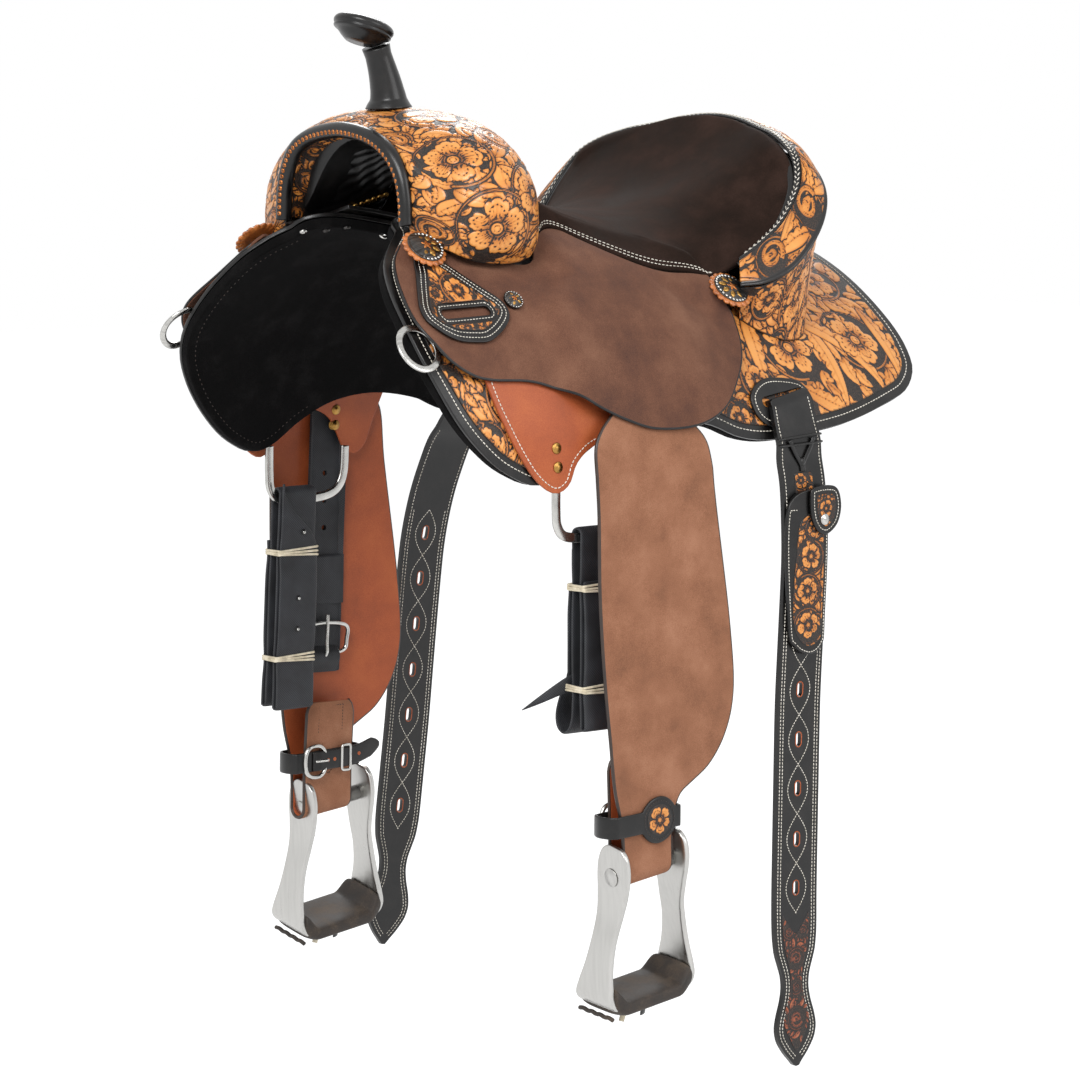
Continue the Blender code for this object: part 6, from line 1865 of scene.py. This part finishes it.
stitches("sheath_stitches", p, straight_out(1.0, p), pitch=3.0, long=2.3, wide=0.85,
         body="flank_billet_near")
softened(sheet("sheath_cover", COVER, at_cover, 0.0, 3.0, BLACK, node="sheath_flap_near", slot="sheath",
               spacing=3), 1.0)
inner = inset(curve(COVER, 120, True), 7.5)
sheet("sheath_cover_tooling", inner, at_cover, 2.8, 3.2, TOOLED, spacing=0.9, exact=True,
      body="sheath_flap", slot="sheath",
      values=carving([(153, -156, 9, 40, 1), (160, -143, 7, 120, -1), (144, -144, 6, 0, 1)], 0.8, 0.5))
loop = inset(curve(COVER, 140, True), 4.2)
p = at_cover(*loop.T, 3.0 + 0 * loop[:, 0])
stitches("sheath_cover_stitches", p, straight_out(1.0, p), pitch=2.9, long=2.2, wide=0.8,
         closed=True, body="sheath_flap")
snap = [(5.2, -0.5), (5.4, 0.3), (5.0, 0.9), (4.0, 1.1), (3.4, 1.8), (1.8, 2.5), (0.3, 2.7)]
turned("sheath_snap", (252.2, 151.5, -166), (1, 0, 0), snap, STEEL, n=32, across=(0, 1, 0),
       body="sheath_flap", slot="stainless")

# %% [markdown]
# Conchos are the round metal ornaments: a scalloped leather rosette, a beaded rim, eight gilt leaves and a
# copper star, all turned or laid out round one axis. Dees and rivets are plain metal.

# %% Conchos, dees and rivets
def frame_at(y, s, h, side):
    """A place on the side panel with its out, along and up directions."""
    here = back(y, s, h, side)
    out = unit(back(y, s, h + 10, side) - here)
    along = unit(back(y + 1, s, h, side) - here)
    return here, out, along, np.cross(out, along)


ALMOND = curve([(-1, 0), (-0.4, 0.34), (0.2, 0.38), (1, 0), (0.2, -0.38), (-0.4, -0.34)], 20, True)
DARK_METAL = metal("blackened_steel", "#5c5a58", 0.4, dark="#2c2b2a")
t = angles(96)
for side, tag in SIDES:
    for name, y, s, h, r, tall in (("front_concho", -238, 103, 0, 21, 8),
                                   ("rear_concho", 101, 133, 26.6, 21, 8),
                                   ("spot_concho", -162, 152, 0, 9.5, 6)):
        h = h or float(jockey_high(y, s)) + (7.0 if name == "front_concho" else 0.45)
        here, out, along, up = frame_at(y, s, h, side)
        spot = name == "spot_concho"
        size = r if spot else r * 0.84
        if not spot:
            def flower(q, rows):
                return 1 + 0.13 * (rows[:, :1] > r * 0.7) * (np.abs(np.cos(q * 9)) ** 0.7 - 0.75)

            turned(f"{name}_rosette_{tag}", here, out,
                   [(r * 0.6, -0.2), (r, 0.2), (r * 1.01, 1.0), (r * 0.98, 2.2), (r * 0.8, 2.9),
                    (r * 0.5, 3.0)],
                   ROSETTE, n=192, across=along, shape=flower, node=f"{name}_{tag}", slot="concho")
        rows = curve([(size * 0.96, 0.6 if spot else 2.6), (size, 3.4), (size * 0.97, 4.1),
                      (size * 0.84, 4.0), (size * 0.78, 4.6), (size * 0.4, 6.1), (0.4, 6.7)], 30)
        rows[:, 1] *= 0.85 if spot else 1.0
        turned(f"{name}_face_{tag}", here, out, rows, DARK_METAL, n=64, across=along, slot="concho",
               **({"node": f"{name}_{tag}"} if spot else {"body": "saddle"}))
        m = 26 if not spot else 20
        q = angles(m)[:, None]
        ring = here + size * 0.90 * (np.cos(q) * along + np.sin(q) * up) + out * (4.0 if not spot else 3.3)
        domes(f"{name}_beads_{tag}", ring, np.broadcast_to(out, ring.shape), size * 0.085, 0.9, STEEL, n=8,
              rows=4, body="saddle", slot="concho")
        leaves = []
        for k in range(8 if not spot else 5):
            q = 2 * np.pi * (k + 0.5) / (8 if not spot else 5)
            to, over = np.cos(q) * along + np.sin(q) * up, np.cos(q) * up - np.sin(q) * along
            for grow, lift_k in ((1.0, 0), (0.9, 1.0), (0.35, 1.5)):
                u_r = size * (0.56 + 0.25 * ALMOND[:, 0] * grow)
                v_r = size * 0.40 * ALMOND[:, 1] * grow
                level = 6.1 - 2.2 * (u_r / size / 0.85) ** 1.5 + lift_k * 0.75
                level = level * (0.85 if spot else 1.0)
                leaves.append(here + u_r[:, None] * to + v_r[:, None] * over + level[:, None] * out)
        leaves = np.array(leaves).reshape(-1, 3, 20, 3)
        faces = []
        for k in range(len(leaves)):
            base = list(quads(3, 20, False, True)) + [np.arange(20)[::-1], 40 + np.arange(20)]
            faces += [f + k * 60 for f in base]
        piece(f"{name}_leaves_{tag}", leaves.reshape(-1, 3), faces, BRASS, body="saddle", slot="concho")
        star = lambda q, rows: 0.78 + 0.22 * np.cos(q * 5)
        turned(f"{name}_star_{tag}", here + out * (5.4 if not spot else 4.6), out,
               [(size * 0.34, 0), (size * 0.34, 0.8), (size * 0.18, 1.5), (0.2, 2.0)], COPPER, n=80,
               across=along, shape=star, body="saddle", slot="concho")
    # breast-collar dee
    q = angles(90)
    a, b = 22 * np.cos(q) - 6 * np.sin(q), 21 * np.sin(q) + 8 * np.cos(q)
    tq = angles(14)
    ring = []
    for dr, dh in zip(0.86 + 0.14 * squash(np.cos(tq), 0.6), 6.0 + 1.4 * squash(np.sin(tq), 0.6)):
        ring.append(back(-263 + a * dr, 196 + b * dr, dh, side))
    loft(f"breast_dee_steel_{tag}", np.array(ring).transpose(1, 0, 2) + (0, -19, 0), STEEL, around=True,
         node=f"breast_dee_{tag}", slot="stainless")
    # rivets through the plate's legs
    spots = [(-149, 300), (-150, 283.5), (-54, 291), (-54, 276)]
    for k, (y, s) in enumerate(spots):
        here, out, along, up = frame_at(y, s, PLATE_LEVELS[1], side)
        under = frame_at(y, s, PLATE_LEVELS[0], side)[0]
        for face_k, (base, sign) in enumerate(((here, 1), (under, -1))):
            turned(f"plate_rivet_{k}_{face_k}_{tag}", base, out * sign,
                   [(5.0, -0.4), (5.2, 0.4), (4.4, 1.0), (2.6, 0.9), (2.2, 1.5), (0.3, 1.8)],
                   BRASS, n=28, across=along, body="saddle", slot="plate")
    # stitch line and screws on the skirt's felt side
    line = inset(curve(SKIRT_EDGE, 500, True), 9.0)
    line = line[(line[:, 0] < -100) & (line[:, 1] > 60)]
    line = line[np.argsort(np.arctan2(line[:, 1] - 180, line[:, 0] + 180))]
    p = back(*line.T, -10.7, side)
    gap_k = np.linalg.norm(np.diff(p, axis=0), axis=1)
    if gap_k.max() > 40:
        cut_k = int(np.argmax(gap_k)) + 1
        p = np.roll(p, -cut_k, 0)
        line = np.roll(line, -cut_k, 0)
    out_n = back(*line.T, -12, side) - back(*line.T, -11, side)
    stitches(f"felt_stitches_{tag}", p, out_n, pitch=5.5, long=2.2, wide=0.8, sink=0.0, material=EDGE,
             body="saddle")
    for k, (y, s) in enumerate([(-232, 45), (-202, 33), (-184, 15)]):
        here, out, along, up = frame_at(y, s, -10.7, side)
        turned(f"screw_{k}_{tag}", here, -out, [(3.6, -0.3), (3.8, 0.3), (3.2, 1.3), (1.4, 1.5), (1.2, 0.9),
                                                (0.2, 0.8)], STEEL if k == 0 else DARK_METAL,
               n=20, across=along, body="saddle")

# %% [markdown]
# Brass nails hold the gullet's lining to the inner face of the fork, seven in a row on each side.

# %% Gullet nails
nail_z = np.linspace(119, 131, 7)
wall_side = fine[fine[:, 0] < -20]
wall_side = wall_side[np.argsort(wall_side[:, 1])]
nail_x = np.interp(nail_z, wall_side[:, 1], wall_side[:, 0]) + 3.4
nails = np.stack([nail_x, np.linspace(-142, -107, 7), nail_z], 1)
nails = np.vstack([nails, nails * (-1, 1, 1)])
inward = np.stack([-np.sign(nails[:, 0]) * 0.8, 0 * nails[:, 0], np.full(len(nails), -0.6)], 1)
domes("gullet_nails", nails, inward, 3.5, 2.2, BRASS, body="saddle", slot="concho")
print("billets, sheath, conchos and trim made")

# %% [markdown]
# What is left of the CAD keeps its shape and takes its finish here. Weld and Bevel are live modifiers.

# %% Finishes for the CAD nodes that stay
FINISH = [
    (("tree_bar", "tree_fork"), BLACK, 0.6), (("tree_cantle", "ground_seat"), EDGE, 0.6),
    (("rigging_ring", "breast_dee", "leather_buckle", "stirrup_bolt"), STEEL, 0.7),
    (("front_concho", "rear_concho", "spot_concho"), STEEL, 0.5),
    (("stirrup_near", "stirrup_off"), ALUMINIUM, 1.2), (("fender",), ROUGHOUT, 0.8),
    (("tread_pad", "hobble_strap", "stirrup_leather", "latigo_bundle", "off_billet", "rear_billet"), BLACK,
     0.7),
    (("billet_sheath", "sheath_flap", "cantle_back", "horn", "gullet"), BLACK, 0.8),
]
for name, made in NODES.items():
    for starts, material, width in FINISH:
        if name.startswith(starts) and not made.hide_render:
            made.data.materials.clear()
            made.data.materials.append(material)
            made.data.polygons.foreach_set("use_smooth", np.ones(len(made.data.polygons), bool))
            weld = made.modifiers.new("weld", "WELD")
            weld.merge_threshold = 0.00002
            softened(made, width)
            break
